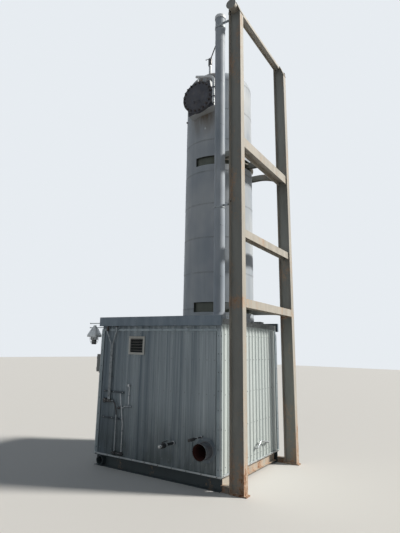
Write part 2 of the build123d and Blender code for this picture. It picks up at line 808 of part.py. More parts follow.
def make_manifold(feed_x):
    """Header low on the wall, with a valve under the conduit and one under the tube."""
    x0 = left_end + manifold_left
    y = conduit_y
    header = rod((x0, y, manifold_z), X, manifold_outer / 2, manifold_length)
    header += rod((x0 + manifold_length / 2, 0, manifold_z), OUT, manifold_outer / 2, -y)
    valve = manifold_valve / 2
    for x in (feed_x, left_end + tube_knee_left):
        header += rod((x, y, low_conduit_foot), DOWN, valve, low_conduit_foot - manifold_z + valve)
    add("manifold", header)
    tube_y = -strut_depth - tube_outer / 2
    route = (
        (left_end + tube_top_left, tube_y, upper_strut_z - strut_side / 2),
        (left_end + tube_knee_left, tube_y, tube_knee_z),
        (left_end + tube_knee_left, tube_y, low_conduit_foot),
    )
    long = pipe_along(route, tube_outer / 2, tube_bend)
    long += rod((left_end + tube_top_left, 0, upper_strut_z - strut_side), OUT, tube_outer / 2, -tube_y)
    stub_x = left_end + stub_left
    short = rod((stub_x, -tube_outer / 2, stub_foot), Z, tube_outer / 2, stub_top - stub_foot)
    half = stub_head / 2
    short += block(stub_x - half, stub_x + half, -stub_head, 0, stub_top - stub_head, stub_top)
    short += rod((stub_x, wall, stub_top - half), OUT, tube_outer / 2, wall + half)
    add("tubing", long, short)


# Drain tube on the right end wall
def make_end_tube():
    places = list(zip(end_tube_y, end_tube_z))
    first, last = places[0], places[-1]
    route = [(0, *first)] + [(end_tube_out, *place) for place in places] + [(0, *last)]
    add("end_tube", pipe_along(route, end_tube_outer / 2, end_tube_bend))


# Lamp and box on the left end
def make_left_end():
    wall_x = left_end - sheet
    half_y, half_z = lamp_plate_width / 2, lamp_plate_height / 2
    plate = block(wall_x - lamp_plate_thick, wall_x, lamp_y - half_y, lamp_y + half_y,
                  lamp_arm_z - half_z, lamp_arm_z + half_z)
    for z in (lamp_arm_z - lamp_arm_gap / 2, lamp_arm_z + lamp_arm_gap / 2):
        plate += rod((wall_x - lamp_arm_out, lamp_y, z), X, lamp_arm_bar / 2, lamp_arm_out)
    add("lamp_arm", plate)
    x = left_end - lamp_x
    top = lamp_arm_z - (lamp_arm_gap + lamp_arm_bar) / 2
    rim_z = top - lamp_shade_height
    shade = make_face(Polyline(
        (0, top), (lamp_shade_top / 2, top), (lamp_shade / 2, rim_z + lamp_shade_rim),
        (lamp_shade / 2, rim_z), (0, rim_z), close=True))
    add("lamp_shade", Pos(x, lamp_y, 0) * revolve(Plane.XZ * shade, Axis.Z))
    jar = rod((x, lamp_y, rim_z), DOWN, lamp_jar / 2, lamp_jar_height)
    add("lamp_jar", fillet(jar.edges().group_by(Axis.Z)[0], (lamp_jar - lamp_tip) / 4))
    add("lamp_tip", rod((x, lamp_y, rim_z - lamp_jar_height), DOWN, lamp_tip / 2, lamp_tip_height))
    add("end_box", block(wall_x - end_box_out, wall_x, end_box_y, end_box_y + end_box_width,
                         end_box_z, end_box_z + end_box_height))


make_skid()
make_walls()
make_door()
make_trims()
make_roof()
make_tower()
make_columns()
make_rungs()
make_saddles()
make_manway()
make_side_pipe()
make_vent()
make_louvre()
make_pipes()
make_conduits()
make_end_tube()
make_left_end()

box = Compound([solid for piece in nodes.values() for solid in piece.solids()]).bounding_box()
middle = Pos(-(box.min.X + box.max.X) / 2, -(box.min.Y + box.max.Y) / 2, 0)
print("outer box", box.size, "moved by", middle.position)

os.makedirs("parts", exist_ok=True)
for name, shape in nodes.items():
    export_step(middle * shape, "parts/" + name + ".step")
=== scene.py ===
"""Looks of the gas sweetening skid: materials, bolts, screws, seams and fittings around the CAD frame."""
import math
import random

import bpy
import bmesh
from mathutils import Matrix, Vector


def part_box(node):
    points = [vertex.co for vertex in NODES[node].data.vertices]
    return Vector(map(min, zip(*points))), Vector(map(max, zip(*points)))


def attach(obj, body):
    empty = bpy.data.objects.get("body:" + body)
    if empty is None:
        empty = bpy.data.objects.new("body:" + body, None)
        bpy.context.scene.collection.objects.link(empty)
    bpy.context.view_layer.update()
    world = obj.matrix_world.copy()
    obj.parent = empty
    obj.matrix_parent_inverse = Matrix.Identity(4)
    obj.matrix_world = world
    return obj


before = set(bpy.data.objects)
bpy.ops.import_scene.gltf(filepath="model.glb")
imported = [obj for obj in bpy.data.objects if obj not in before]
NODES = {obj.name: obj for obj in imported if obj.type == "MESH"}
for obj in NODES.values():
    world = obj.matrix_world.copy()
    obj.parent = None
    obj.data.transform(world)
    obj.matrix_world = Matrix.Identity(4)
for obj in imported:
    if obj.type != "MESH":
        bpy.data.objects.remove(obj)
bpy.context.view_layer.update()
rng = random.Random(7)

# Sizes in metres, measured from the near right corner of the building like the CAD part
COLUMN_GAP = 0.170
SHIFT = Vector((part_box("columns")[0][0] - COLUMN_GAP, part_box("columns")[0][1], 0))
ROOM_LENGTH = 2.815
ROOM_WIDTH = 2.650
LEFT = -ROOM_LENGTH
WALL = 0.075
RIB_PITCH = 0.152
SHEET = 0.003
HEAD_TRIM_OUT, HEAD_TRIM_Z = 0.004, 2.603
BASE_TRIM_OUT, BASE_TRIM_Z = 0.016, 0.222
TRIM_LEG, TRIM_LOW, TRIM_LENGTH = 0.036, 0.236, 2.345
EAVE_LOW, EAVE_TOP, EAVE_DEPTH = 2.678, 2.860, 0.058
EAVE_BACK = ROOM_WIDTH + EAVE_DEPTH
ROOF_CREST, ROOF_EDGE_Z = 2.810, 2.765
TOWER = Vector((-0.765, ROOM_WIDTH / 2, 0))
JACKET_R = 0.748
HEM_R, HEM_HEIGHT = 0.750, 0.024
SEAM_TOP, SHEET_COURSE = 8.170, 0.730
DOME_CROWN, DOME_KNUCKLE = 1.2968, 0.29936
PIPE = Vector((-0.190, 0.300, 0))
PIPE_R = 0.107
NOZZLE_X, NOZZLE_Z, NOZZLE_R = -0.270, 0.602, 0.1365
LOW_RUNG, MIDDLE_RUNG, HIGH_RUNG = 3.077, 4.373, 6.215
POCKETS = (LOW_RUNG, HIGH_RUNG)
POCKET_HALF = 0.098
POCKET_TURN = math.radians(103)
LOUVRE_X, LOUVRE_Z = LEFT + 0.937, 2.300
LOUVRE_HALF_X, LOUVRE_HALF_Z = 0.353 / 2, 0.306 / 2
COVER_Z, COVER_R = 7.638, 0.365
DOOR_HALF, DOOR_FRAME, DOOR_HEAD = 0.43, 0.055, 2.32
COLUMN_OUTER, COLUMN_WIDTH = 0.432, 0.147
OUT, BACK, UP, DOWN = (0, -1, 0), (0, 1, 0), (0, 0, 1), (0, 0, -1)
RIGHT, LEFTWARD = (1, 0, 0), (-1, 0, 0)


def at(x, y, z):
    """Point of the building's corner frame in the part's frame."""
    return Vector((x, y, z)) + SHIFT


def add(name, data):
    """New object in the scene."""
    obj = bpy.data.objects.new(name, data)
    bpy.context.scene.collection.objects.link(obj)
    return obj


# Camera fitted to the photograph, whose frame is 400 x 533
PHOTO_W, PHOTO_H = 400, 533
FOCAL_PX = 434.482
CENTRE_PX = (181.439, 242.246)
CAM_PLACE = (3.713, -6.932, 2.288)
YAW, PITCH, ROLL = (math.radians(angle) for angle in (33.491, 13.581, 1.449))
SENSOR = 36


def make_camera():
    """Camera with the photo's place, turn, lens and off-centre middle."""
    forward = Vector((-math.sin(YAW) * math.cos(PITCH), math.cos(YAW) * math.cos(PITCH), math.sin(PITCH)))
    level = Vector((math.cos(YAW), math.sin(YAW), 0))
    up = level.cross(forward)
    right = level * math.cos(ROLL) + up * math.sin(ROLL)
    top = up * math.cos(ROLL) - level * math.sin(ROLL)
    data = bpy.data.cameras.new("camera")
    data.sensor_width = SENSOR
    data.lens = FOCAL_PX / PHOTO_H * SENSOR
    data.shift_x = (PHOTO_W / 2 - CENTRE_PX[0]) / PHOTO_H
    data.shift_y = (CENTRE_PX[1] - PHOTO_H / 2) / PHOTO_H
    data.clip_end = 200
    camera = add("camera", data)
    turn = Matrix((right, top, -forward)).transposed()
    camera.matrix_world = Matrix.Translation(at(*CAM_PLACE)) @ turn.to_4x4()
    bpy.context.scene.camera = camera


# Materials
class Shader:
    """Short calls for the nodes of one material."""

    def __init__(self, name, metallic=0.0, roughness=0.6):
        self.mat = bpy.data.materials.new(name)
        self.mat.use_nodes = True
        self.tree = self.mat.node_tree
        self.bsdf = self.tree.nodes["Principled BSDF"]
        self.bsdf.inputs["Metallic"].default_value = metallic
        self.bsdf.inputs["Roughness"].default_value = roughness
        self.coord = self.tree.nodes.new("ShaderNodeTexCoord").outputs["Object"]

    def put(self, socket, value):
        if isinstance(value, bpy.types.NodeSocket):
            self.tree.links.new(value, socket)
        elif value is not None:
            if isinstance(value, tuple) and len(value) == 3 and socket.type == "RGBA":
                value = (*value, 1)
            socket.default_value = value

    def noise(self, scale, detail=4.0, rough=0.55):
        """Noise whose scale may differ along X, Y and Z."""
        spread = scale if isinstance(scale, tuple) else (scale,) * 3
        mapping = self.tree.nodes.new("ShaderNodeMapping")
        self.put(mapping.inputs["Vector"], self.coord)
        mapping.inputs["Scale"].default_value = spread
        node = self.tree.nodes.new("ShaderNodeTexNoise")
        self.put(node.inputs["Vector"], mapping.outputs[0])
        node.inputs["Scale"].default_value = 1
        node.inputs["Detail"].default_value = detail
        node.inputs["Roughness"].default_value = rough
        return node.outputs["Fac"]

    def math(self, kind, a, b=None):
        node = self.tree.nodes.new("ShaderNodeMath")
        node.operation = kind
        self.put(node.inputs[0], a)
        self.put(node.inputs[1], b)
        return node.outputs[0]

    def times(self, a, b):
        return self.math("MULTIPLY", a, b)

    def plus(self, a, b):
        return self.math("ADD", a, b)

    def weigh(self, *shares):
        """Sum of values, each times its weight."""
        parts = [self.times(value, weight) for value, weight in shares]
        total = parts[0]
        for part in parts[1:]:
            total = self.plus(total, part)
        return total

    def off(self, name, middle):
        """Signed distance from a plane across an axis."""
        return self.math("SUBTRACT", self.axis(name), middle)

    def far(self, name, middle):
        """Distance from a plane across an axis."""
        return self.math("ABSOLUTE", self.off(name, middle))

    def reach(self, first, second):
        """Distance from a line, from the two distances across it."""
        return self.math("SQRT", self.plus(self.times(first, first), self.times(second, second)))

    def span(self, value, low, high, out_low=0.0, out_high=1.0):
        """Value between two limits, as a share between two others."""
        node = self.tree.nodes.new("ShaderNodeMapRange")
        self.put(node.inputs["Value"], value)
        limits = (("From Min", low), ("From Max", high), ("To Min", out_low), ("To Max", out_high))
        for name, limit in limits:
            node.inputs[name].default_value = limit
        return node.outputs["Result"]

    def axis(self, name, of="Object"):
        node = self.tree.nodes.new("ShaderNodeSeparateXYZ")
        self.put(node.inputs[0], self.coord.node.outputs[of])
        return node.outputs[name]

    def mix(self, share, a, b):
        """Colour a, or b where the share is 1."""
        node = self.tree.nodes.new("ShaderNodeMix")
        node.data_type = "RGBA"
        self.put(node.inputs["Factor"], share)
        self.put(node.inputs[6], a)
        self.put(node.inputs[7], b)
        return node.outputs[2]

    def color(self, value):
        self.put(self.bsdf.inputs["Base Color"], value)

    def rough(self, value):
        self.put(self.bsdf.inputs["Roughness"], value)

    def bump(self, height, strength, distance=0.01):
        node = self.tree.nodes.new("ShaderNodeBump")
        node.inputs["Strength"].default_value = strength
        node.inputs["Distance"].default_value = distance
        self.put(node.inputs["Height"], height)
        self.put(self.bsdf.inputs["Normal"], node.outputs[0])


RUST_DARK = (0.13, 0.055, 0.03)
RUST = (0.30, 0.13, 0.055)
RUST_PALE = (0.58, 0.36, 0.22)
# Specular level of oxidised sheet, which has lost its shine
DULL = 0.2


def siding_material(name, pale, dark, dust, dirt_and_shade):
    """Weathered ribbed sheet: tall streaks, sheets of different tone, a darker tone towards the foot and
    painted shade towards the left end.
    """
    s = Shader(name, metallic=0.12, roughness=0.48)
    s.bsdf.inputs["Specular IOR Level"].default_value = DULL
    streak, fine = s.noise((7, 7, 0.16), 5, 0.6), s.noise((75, 75, 0.7), 3)
    tone = s.weigh((streak, 0.5), (fine, 0.3), (s.noise((1.1, 1.1, 0.02), 0), 0.35))
    base = s.mix(s.span(tone, 0.42, 0.74), dark, pale)
    foot = s.times(s.span(s.axis("Z"), 1.3, 0.1), s.span(s.noise((3, 3, 1.6), 4), 0.1, 0.6))
    runs = s.times(s.span(s.noise((11, 11, 0.3), 4, 0.6), 0.56, 0.72), s.span(s.axis("Z"), 0.8, 2.7))
    base = s.mix(s.times(runs, dirt_and_shade), base, dark)
    # Painted shade: the sheet darkens towards the building's left end, by the same share as the runs.
    left_end_shade = s.span(s.axis("X"), at(LEFT + 1.2, 0, 0).x, at(LEFT, 0, 0).x)
    base = s.mix(s.times(left_end_shade, dirt_and_shade), base, dark)
    s.color(s.mix(s.times(foot, dirt_and_shade), base, dust))
    s.rough(s.span(s.noise((9, 9, 0.5), 4), 0.3, 0.7, 0.36, 0.58))
    s.bump(s.noise((2.6, 2.6, 1.1), 2), 0.14, 0.03)
    return s.mat


def frame_material(name, paint, stain, rust_low, grime_and_shade):
    """Old paint on rolled steel: painted shade on the faces that look along Y, rust near the ground and at
    the low rung's ends with pale bleeding round it, and painted shade on what goes into the jacket's pockets."""
    s = Shader(name, roughness=0.62)
    base = s.mix(s.span(s.noise((5, 5, 1.2), 6, 0.65), 0.35, 0.72), paint, stain)
    # Painted shade: faces that look along Y are darkened towards the last colour, as they stand out of the
    # light.
    shaded_faces = s.math("ABSOLUTE", s.axis("Y", "Normal"))
    base = s.mix(s.times(s.span(shaded_faces, 0.6, 0.9), 0.62), base, grime_and_shade)
    height = s.axis("Z")
    side = s.far("Y", at(*TOWER).y)
    at_rung = s.times(s.span(height, 2.92, 3.0), s.span(height, 3.24, 3.16))
    ends = s.times(s.times(s.span(side, 0.85, 1.2), at_rung), 0.11)
    low = s.plus(s.span(height, 1.5, 0.0, 0.0, rust_low), ends)
    patches = s.plus(s.weigh((s.noise((3.1, 3.1, 1.3), 8, 0.68), 0.7), (s.noise(26, 6, 0.7), 0.3)), low)
    bleed = s.span(patches, 0.55, 0.67)
    core = s.span(patches, 0.64, 0.71)
    base = s.mix(s.times(bleed, 0.75), base, RUST_PALE)
    base = s.mix(core, base, s.mix(s.noise(40, 4), RUST, RUST_DARK))
    # Painted shade: frame parts inside the jacket's pockets are darkened to a dark mottled colour, as the
    # pockets hold them in shade.
    reach = s.reach(s.off("X", at(*TOWER).x), s.off("Y", at(*TOWER).y))
    pocket = s.times(s.span(reach, JACKET_R - 0.004, JACKET_R - 0.02), s.span(height, 2.5, 2.6))
    pocket_shade_color = s.mix(s.noise((9, 9, 3), 5), (0.06, 0.075, 0.06), (0.13, 0.14, 0.115))
    s.color(s.mix(pocket, base, pocket_shade_color))
    s.rough(s.span(patches, 0.5, 0.7, 0.5, 0.85))
    s.bump(s.plus(s.noise(34, 5), s.times(core, 0.8)), 0.22, 0.004)
    return s.mat


def jacket_material(name, pale, dark, metallic=0.0, tower=False):
    """Aluminium sheet with dull streaks, soft dents and stains. The tower's has dirty seams, painted shade in
    its pockets and a rust run under the manway."""
    s = Shader(name, metallic=metallic, roughness=0.5)
    s.bsdf.inputs["Specular IOR Level"].default_value = DULL
    tone = s.weigh((s.noise((5, 5, 0.35), 5, 0.6), 0.42), (s.noise((1.4, 1.4, 1.1), 2), 0.68))
    base = s.mix(s.span(tone, 0.4, 0.72), dark, pale)
    stain = s.times(s.span(s.noise((8, 8, 0.6), 6, 0.7), 0.6, 0.76), 0.4)
    base = s.mix(stain, base, (0.28, 0.25, 0.20))
    if tower:
        off_x, off_y, height = s.off("X", at(*TOWER).x), s.off("Y", at(*TOWER).y), s.axis("Z")
        course = s.math("FRACT", s.math("DIVIDE", s.math("SUBTRACT", SEAM_TOP, height), SHEET_COURSE))
        soot = s.times(s.span(course, 0.06, 0.0), s.span(s.noise((4, 4, 2), 5), 0.3, 0.55))
        base = s.mix(s.times(soot, 0.55), base, (0.16, 0.17, 0.18))
        fall = s.span(height, 6.75, 7.3)
        run = s.times(s.span(s.math("ABSOLUTE", off_x), 0.42, 0.16), s.span(off_y, -0.5, -0.62))
        run = s.times(s.times(run, fall), s.span(s.noise((9, 9, 1.6), 5, 0.65), 0.3, 0.6))
        base = s.mix(s.times(run, 0.85), base, (0.17, 0.12, 0.075))
        # Painted shade: inside the jacket's radius, below the manway, the pockets' sides and back are
        # darkened as they lie in shade.
        inner = s.span(s.reach(off_x, off_y), JACKET_R - 0.002, JACKET_R - 0.006)
        base = s.mix(s.times(inner, s.span(height, 7.0, 6.9)), base, (0.075, 0.085, 0.075))
    s.color(base)
    s.rough(s.span(s.noise((7, 7, 2), 4), 0.3, 0.7, 0.42, 0.6))
    s.bump(s.noise((3.2, 3.2, 2.2), 2), 0.2, 0.02)
    return s.mat


def sheet_material(name, pale, dark, metallic=0.3, roughness=0.45):
    """Folded trim sheet with faint cloudy wear."""
    s = Shader(name, metallic=metallic, roughness=roughness)
    s.color(s.mix(s.span(s.noise((6, 6, 1.5), 5, 0.62), 0.34, 0.7), dark, pale))
    s.rough(s.span(s.noise(9, 3), 0.3, 0.7, roughness - 0.07, roughness + 0.1))
    s.bump(s.noise((4, 4, 3), 2), 0.1, 0.01)
    return s.mat


def louvre_material(name, pale, dark):
    """Painted louvre: the frame keeps its paint, and dirt and shade darken the blades inside it."""
    s = Shader(name, roughness=0.55)
    across, along = s.far("X", at(LOUVRE_X, 0, 0).x), s.far("Z", LOUVRE_Z)
    inside = s.times(s.span(across, LOUVRE_HALF_X - 0.016, LOUVRE_HALF_X - 0.022),
                     s.span(along, LOUVRE_HALF_Z - 0.016, LOUVRE_HALF_Z - 0.022))
    deep = s.span(s.axis("Y"), at(0, 0.004, 0).y, at(0, 0.022, 0).y, 0.72, 1.0)
    paint = s.mix(s.span(s.noise((9, 9, 4), 5, 0.62), 0.34, 0.7), (0.58, 0.58, 0.54), pale)
    s.color(s.mix(s.times(inside, deep), paint, dark))
    s.bump(s.noise(60, 3), 0.08, 0.001)
    return s.mat


def grimy_material(name, color, grime_and_shade, roughness=0.5, metallic=0.0, scale=22):
    """Small hard part with dust in patches."""
    s = Shader(name, metallic=metallic, roughness=roughness)
    s.color(s.mix(s.span(s.noise(scale, 5, 0.6), 0.45, 0.75), color, grime_and_shade))
    s.rough(s.span(s.noise(scale / 2, 3), 0.3, 0.7, roughness - 0.1, roughness + 0.15))
    s.bump(s.noise(scale * 4, 3), 0.12, 0.001)
    return s.mat


def nozzle_material(name, paint, worn):
    """Old paint outside and a bore of dark red-brown scale, told by its distance from the axis."""
    s = Shader(name, metallic=0.1, roughness=0.75)
    grain = s.noise(38, 8, 0.7)
    reach = s.reach(s.off("X", at(NOZZLE_X, 0, 0).x), s.off("Z", NOZZLE_Z))
    bore = s.mix(s.span(grain, 0.4, 0.65), (0.038, 0.010, 0.008), (0.085, 0.026, 0.018))
    outside = s.mix(s.span(s.noise(11, 6, 0.65), 0.42, 0.62), paint, worn)
    s.color(s.mix(s.span(reach, NOZZLE_R - 0.003, NOZZLE_R - 0.007), outside, bore))
    s.bump(grain, 0.4, 0.003)
    return s.mat


def glass_material(name):
    """Dusty jar glass, more milky than clear."""
    s = Shader(name, roughness=0.12)
    s.color(s.mix(s.span(s.noise(14, 4), 0.4, 0.7), (0.72, 0.76, 0.77), (0.52, 0.54, 0.53)))
    s.bsdf.inputs["Transmission Weight"].default_value = 0.35
    s.bump(s.noise((30, 30, 3), 2), 0.15, 0.002)
    return s.mat


MATS = {
    # The front and rear walls get a darker, bluer copy of the end walls' siding: partly soiling, partly
    # painted shade, as the front wall stands out of the light.
    "siding": siding_material("siding", (0.60, 0.67, 0.70), (0.17, 0.215, 0.255), (0.075, 0.09, 0.085), 0.85),
    "end_siding": siding_material("end_siding", (0.66, 0.72, 0.71), (0.54, 0.60, 0.60),
                                  (0.44, 0.46, 0.42), 0.3),
    "roof": siding_material("roof_sheet", (0.42, 0.45, 0.45), (0.28, 0.31, 0.32), (0.28, 0.27, 0.22), 0.5),
    "frame": frame_material("frame_paint", (0.55, 0.51, 0.44), (0.38, 0.355, 0.31), 0.13,
                            (0.115, 0.145, 0.155)),
    "skid": frame_material("skid_paint", (0.06, 0.08, 0.085), (0.035, 0.045, 0.05), -0.03,
                           (0.05, 0.065, 0.07)),
    "jacket": jacket_material("jacket_sheet", (0.61, 0.645, 0.675), (0.39, 0.44, 0.50), tower=True),
    "box": jacket_material("box_sheet", (0.62, 0.64, 0.65), (0.50, 0.52, 0.54), 0.3),
    "pipe": jacket_material("pipe_sheet", (0.54, 0.59, 0.65), (0.34, 0.395, 0.46)),
    "eave": sheet_material("eave_sheet", (0.21, 0.26, 0.31), (0.13, 0.17, 0.21), 0.2),
    "wall_trim": sheet_material("wall_trim", (0.36, 0.42, 0.45), (0.22, 0.27, 0.30), 0.3),
    "trim": sheet_material("trim_sheet", (0.62, 0.66, 0.67), (0.46, 0.50, 0.52)),
    "louvre": louvre_material("louvre_paint", (0.74, 0.74, 0.70), (0.07, 0.08, 0.085)),
    "dark_sheet": sheet_material("dark_sheet", (0.20, 0.21, 0.21), (0.12, 0.13, 0.13)),
    "shell": sheet_material("shell_paint", (0.16, 0.18, 0.16), (0.10, 0.115, 0.105), 0.1, 0.6),
    "nozzle": nozzle_material("nozzle_paint", (0.12, 0.14, 0.165), (0.085, 0.075, 0.075)),
    "ring": sheet_material("ring_plate", (0.24, 0.285, 0.32), (0.14, 0.175, 0.21), 0.1),
    "strut": sheet_material("strut_sheet", (0.10, 0.13, 0.155), (0.06, 0.08, 0.10), 0.1),
    "zinc": grimy_material("zinc", (0.50, 0.53, 0.55), (0.30, 0.31, 0.30), 0.42, 0.5),
    "old_zinc": grimy_material("old_zinc", (0.27, 0.30, 0.32), (0.14, 0.15, 0.155), 0.5, 0.5),
    "rivet": grimy_material("rivet_metal", (0.42, 0.45, 0.48), (0.20, 0.20, 0.19), 0.4, 0.6, 60),
    "weld": grimy_material("weld_bead", (0.46, 0.42, 0.36), (0.27, 0.15, 0.09), 0.6, 0.1, 30),
    "seal": grimy_material("sealant", (0.30, 0.31, 0.31), (0.16, 0.16, 0.155), 0.7, 0.0, 18),
    "bolt": grimy_material("bolt_steel", (0.055, 0.055, 0.06), (0.14, 0.10, 0.08), 0.55, 0.4),
    "cover": grimy_material("cover_paint", (0.075, 0.08, 0.10), (0.14, 0.135, 0.14), 0.7, 0.0, 12),
    "black": grimy_material("black_parts", (0.016, 0.018, 0.021), (0.048, 0.05, 0.052), 0.38),
    "glass": glass_material("lamp_glass"),
}

NODE_LOOKS = {
    "siding": ("front_wall", "rear_wall"),
    "end_siding": ("left_end_wall", "right_end_wall"),
    "roof": ("roof_deck",),
    "frame": ("columns", "column_feet", "trunnions", "rungs", "top_rail", "saddles",
              "skid_cross_beams"),
    "skid": ("skid_runners", "tow_pipe", "floor_plate"),
    "jacket": ("jacket", "jacket_dome", "tower_collar"),
    "box": ("manway_box", "vent_stem", "side_pipe_cap", "davit"),
    "pipe": ("side_pipe",),
    "eave": ("eaves", "door_leaf"),
    "strut": ("wall_struts",),
    "trim": ("base_trim", "door_frame"),
    "wall_trim": ("corner_trims", "head_trims"),
    "louvre": ("louvre",),
    "dark_sheet": ("roof_edges", "roof_curb", "end_box"),
    "shell": ("vessel_shell", "top_head", "bottom_head", "skirt"),
    "nozzle": ("inlet_nozzle",),
    "cover": ("manway_cover", "manway_neck"),
    "zinc": ("tubing", "drain_plug", "end_tube", "lamp_shade"),
    "old_zinc": ("conduits", "lamp_arm", "side_pipe_brackets"),
    "ring": ("nozzle_ring",),
    "black": ("hose", "junction", "drain_pipe", "drain_valve", "sample_pipe", "sample_knob", "manifold",
              "vent_valve", "vent_line", "lamp_tip"),
    "glass": ("lamp_jar",),
}


def dress_nodes():
    """Gives each CAD node its look."""
    for look, names in NODE_LOOKS.items():
        for name in names:
            mesh = NODES[name].data
            mesh.materials.clear()
            mesh.materials.append(MATS[look])


# Mesh helpers
def show(name, data, look):
    """Piece on the root body, with its look."""
    data.materials.append(MATS[look])
    obj = add(name, data)
    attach(obj, "root")


def piece(fill, look, slot):
    """Piece that has the name of the function that fills its mesh."""
    bm = bmesh.new()
    fill(bm)
    bmesh.ops.recalc_face_normals(bm, faces=bm.faces)
    data = bpy.data.meshes.new(fill.__name__)
    bm.to_mesh(data)
    bm.free()
    show(fill.__name__, data, look)


def curve(name, points, radius, look, cyclic=False):
    """Smooth round wire along points of the corner frame."""
    data = bpy.data.curves.new(name, "CURVE")
    data.dimensions = "3D"
    data.bevel_depth = radius
    data.bevel_resolution = 3
    data.use_fill_caps = True
    spline = data.splines.new("NURBS")
    spline.points.add(len(points) - 1)
    for point, place in zip(spline.points, points):
        point.co = (*at(*place), 1)
    spline.order_u = 3
    spline.use_endpoint_u = not cyclic
    spline.use_cyclic_u = cyclic
    show(name, data, look)


def turned(place, along, spin=0.0):
    """Transform whose Z axis points along a direction."""
    aim = Vector(along).to_track_quat("Z", "Y").to_matrix().to_4x4()
    return Matrix.Translation(place) @ aim @ Matrix.Rotation(spin, 4, "Z")


def aimed(x, y, z, along, spin=0.0):
    """The same at a point of the corner frame."""
    return turned(at(x, y, z), along, spin)


def turns(count, shift=0.5):
    """Even angles round a circle."""
    return [2 * math.pi * (i + shift) / count for i in range(count)]


def steps(low, high, spacing):
    """Even places between two ends, both included."""
    count = max(1, round((high - low) / spacing))
    return [low + (high - low) * i / count for i in range(count + 1)]


def swing(x, y, radius, turn, z):
    """Coordinates on a level circle."""
    return x + radius * math.cos(turn), y + radius * math.sin(turn), z


def on_front(x, y, z, radius, turn):
    """Place on a circle that faces the front."""
    return at(x + radius * math.cos(turn), y, z + radius * math.sin(turn))


def lathe(bm, profile, transform, segments):
    """Faces round local Z from (radius, height) points; radius 0, or ending on the first point, closes it."""
    rings = []
    looped = profile[0] == profile[-1]
    for radius, height in profile[:-1] if looped else profile:
        if radius == 0:
            rings.append([bm.verts.new(transform @ Vector((0, 0, height)))])
            continue
        rings.append([bm.verts.new(transform @ Vector(swing(0, 0, radius, turn, height)))
                      for turn in turns(segments, 0)])
    if looped:
        rings.append(rings[0])
    for low, high in zip(rings, rings[1:]):
        for i in range(segments):
            j = (i + 1) % segments
            corners = [low[i % len(low)], low[j % len(low)], high[j % len(high)], high[i % len(high)]]
            unique = list(dict.fromkeys(corners))
            if len(unique) > 2:
                bm.faces.new(unique)


def turning(bm, outline, transform, segments):
    """Turned part whose flat ends are closed to the axis."""
    lathe(bm, ((0, outline[0][1]), *outline, (0, outline[-1][1])), transform, segments)


def pin(bm, radius, length, transform, segments):
    """Plain round or many-sided bar."""
    turning(bm, ((radius, 0), (radius, length)), transform, segments)


def nut(bm, radius, side, top_radius, height, transform, sides):
    """Nut, plug or disc whose top is cut back above its side."""
    turning(bm, ((radius, 0), (radius, side), (top_radius, height)), transform, sides)


def hoop(bm, section, transform, segments):
    """Ring turned from a closed section."""
    lathe(bm, (*section, section[0]), transform, segments)


def band(bm, inner, outer, low, high, transform, segments):
    """Ring of square section."""
    hoop(bm, ((inner, low), (outer, low), (outer, high), (inner, high)), transform, segments)


def join_rings(bm, rings):
    """Faces between neighbouring rings of points."""
    for low, high in zip(rings, rings[1:]):
        for i in range(len(low)):
            j = (i + 1) % len(low)
            bm.faces.new((low[i], low[j], high[j], high[i]))


def slab(bm, transform, middle, size):
    """Box from its middle and size."""
    made = bmesh.ops.create_cube(bm, size=1)
    place = transform @ Matrix.Translation(middle) @ Matrix.Diagonal((*size, 1))
    bmesh.ops.transform(bm, matrix=place, verts=made["verts"])


def box_into(bm, low, high):
    """Box between two corners of the corner frame."""
    low, high = at(*low), at(*high)
    slab(bm, Matrix.Identity(4), (low + high) / 2, high - low)


# Pieces in the order of their functions
PIECES = []


def made(*finish):
    """Lists a function that fills a piece, with its look and slot, or one that makes wires, with neither."""
    def keep(make):
        PIECES.append((make, *finish))
        return make

    return keep


# Small hardware
def hex_bolt(bm, place, along, size, height, washer=True):
    """Bolt head or nut with a chamfered top, turned at random, on a washer."""
    at_face = turned(place, along, rng.uniform(0, math.pi / 3))
    if washer:
        pin(bm, size * 1.15, height * 0.25, at_face, 12)
    base = height * 0.2 if washer else 0
    turning(bm, ((size, base), (size, height * 0.85), (size * 0.86, height)), at_face, 6)


def rivet(bm, place, along, radius=0.006):
    """Domed head, open underneath."""
    dome = ((radius, 0), (radius * 0.85, radius * 0.4), (radius * 0.4, radius * 0.6), (0, radius * 0.62))
    lathe(bm, dome, turned(place, along), 8)


def disc(bm, place, along, radius, height, segments=20, edge=0.15):
    """Short turned part with a chamfered rim."""
    cut = min(height, radius) * edge
    nut(bm, radius, height - cut, radius - cut, height, turned(place, along), segments)


def bead(bm, start, end, radius):
    """Rippled weld bead between two points of the corner frame."""
    start, end = at(*start), at(*end)
    length = (end - start).length
    count = max(3, round(length / 0.008))
    profile = [(0, 0)]
    for i in range(count + 1):
        swell = 0.8 + 0.3 * (i % 2) + rng.uniform(-0.06, 0.06)
        profile.append((radius * swell, length * (0.005 + 0.99 * i / count)))
    profile.append((0, length))
    lathe(bm, profile, turned(start, end - start), 6)


def ring_bead(bm, transform, radius, thick, count):
    """Rippled bead round a circle."""
    rings = []
    for i, turn in enumerate(turns(count, 0)):
        size = thick * (0.82 + 0.3 * (i % 2) + rng.uniform(-0.05, 0.05))
        ring = [swing(radius, 0, size, side, 0) for side in turns(6, 0)]
        rings.append([bm.verts.new(transform @ Vector(swing(0, 0, reach, turn, height)))
                      for reach, height, _ in ring])
    join_rings(bm, rings + rings[:1])


# Screws of the walls, trims and roof
SCREW, SCREW_HIGH = 0.0075, 0.006
SCREW_ROWS = (0.34, 0.92, 1.5, 2.08, 2.53)
ROOF_HOLE, PIPE_FLASHING = 0.82, 0.15


def screw(bm, x, y, z, way):
    hex_bolt(bm, at(x, y, z), way, SCREW, SCREW_HIGH)


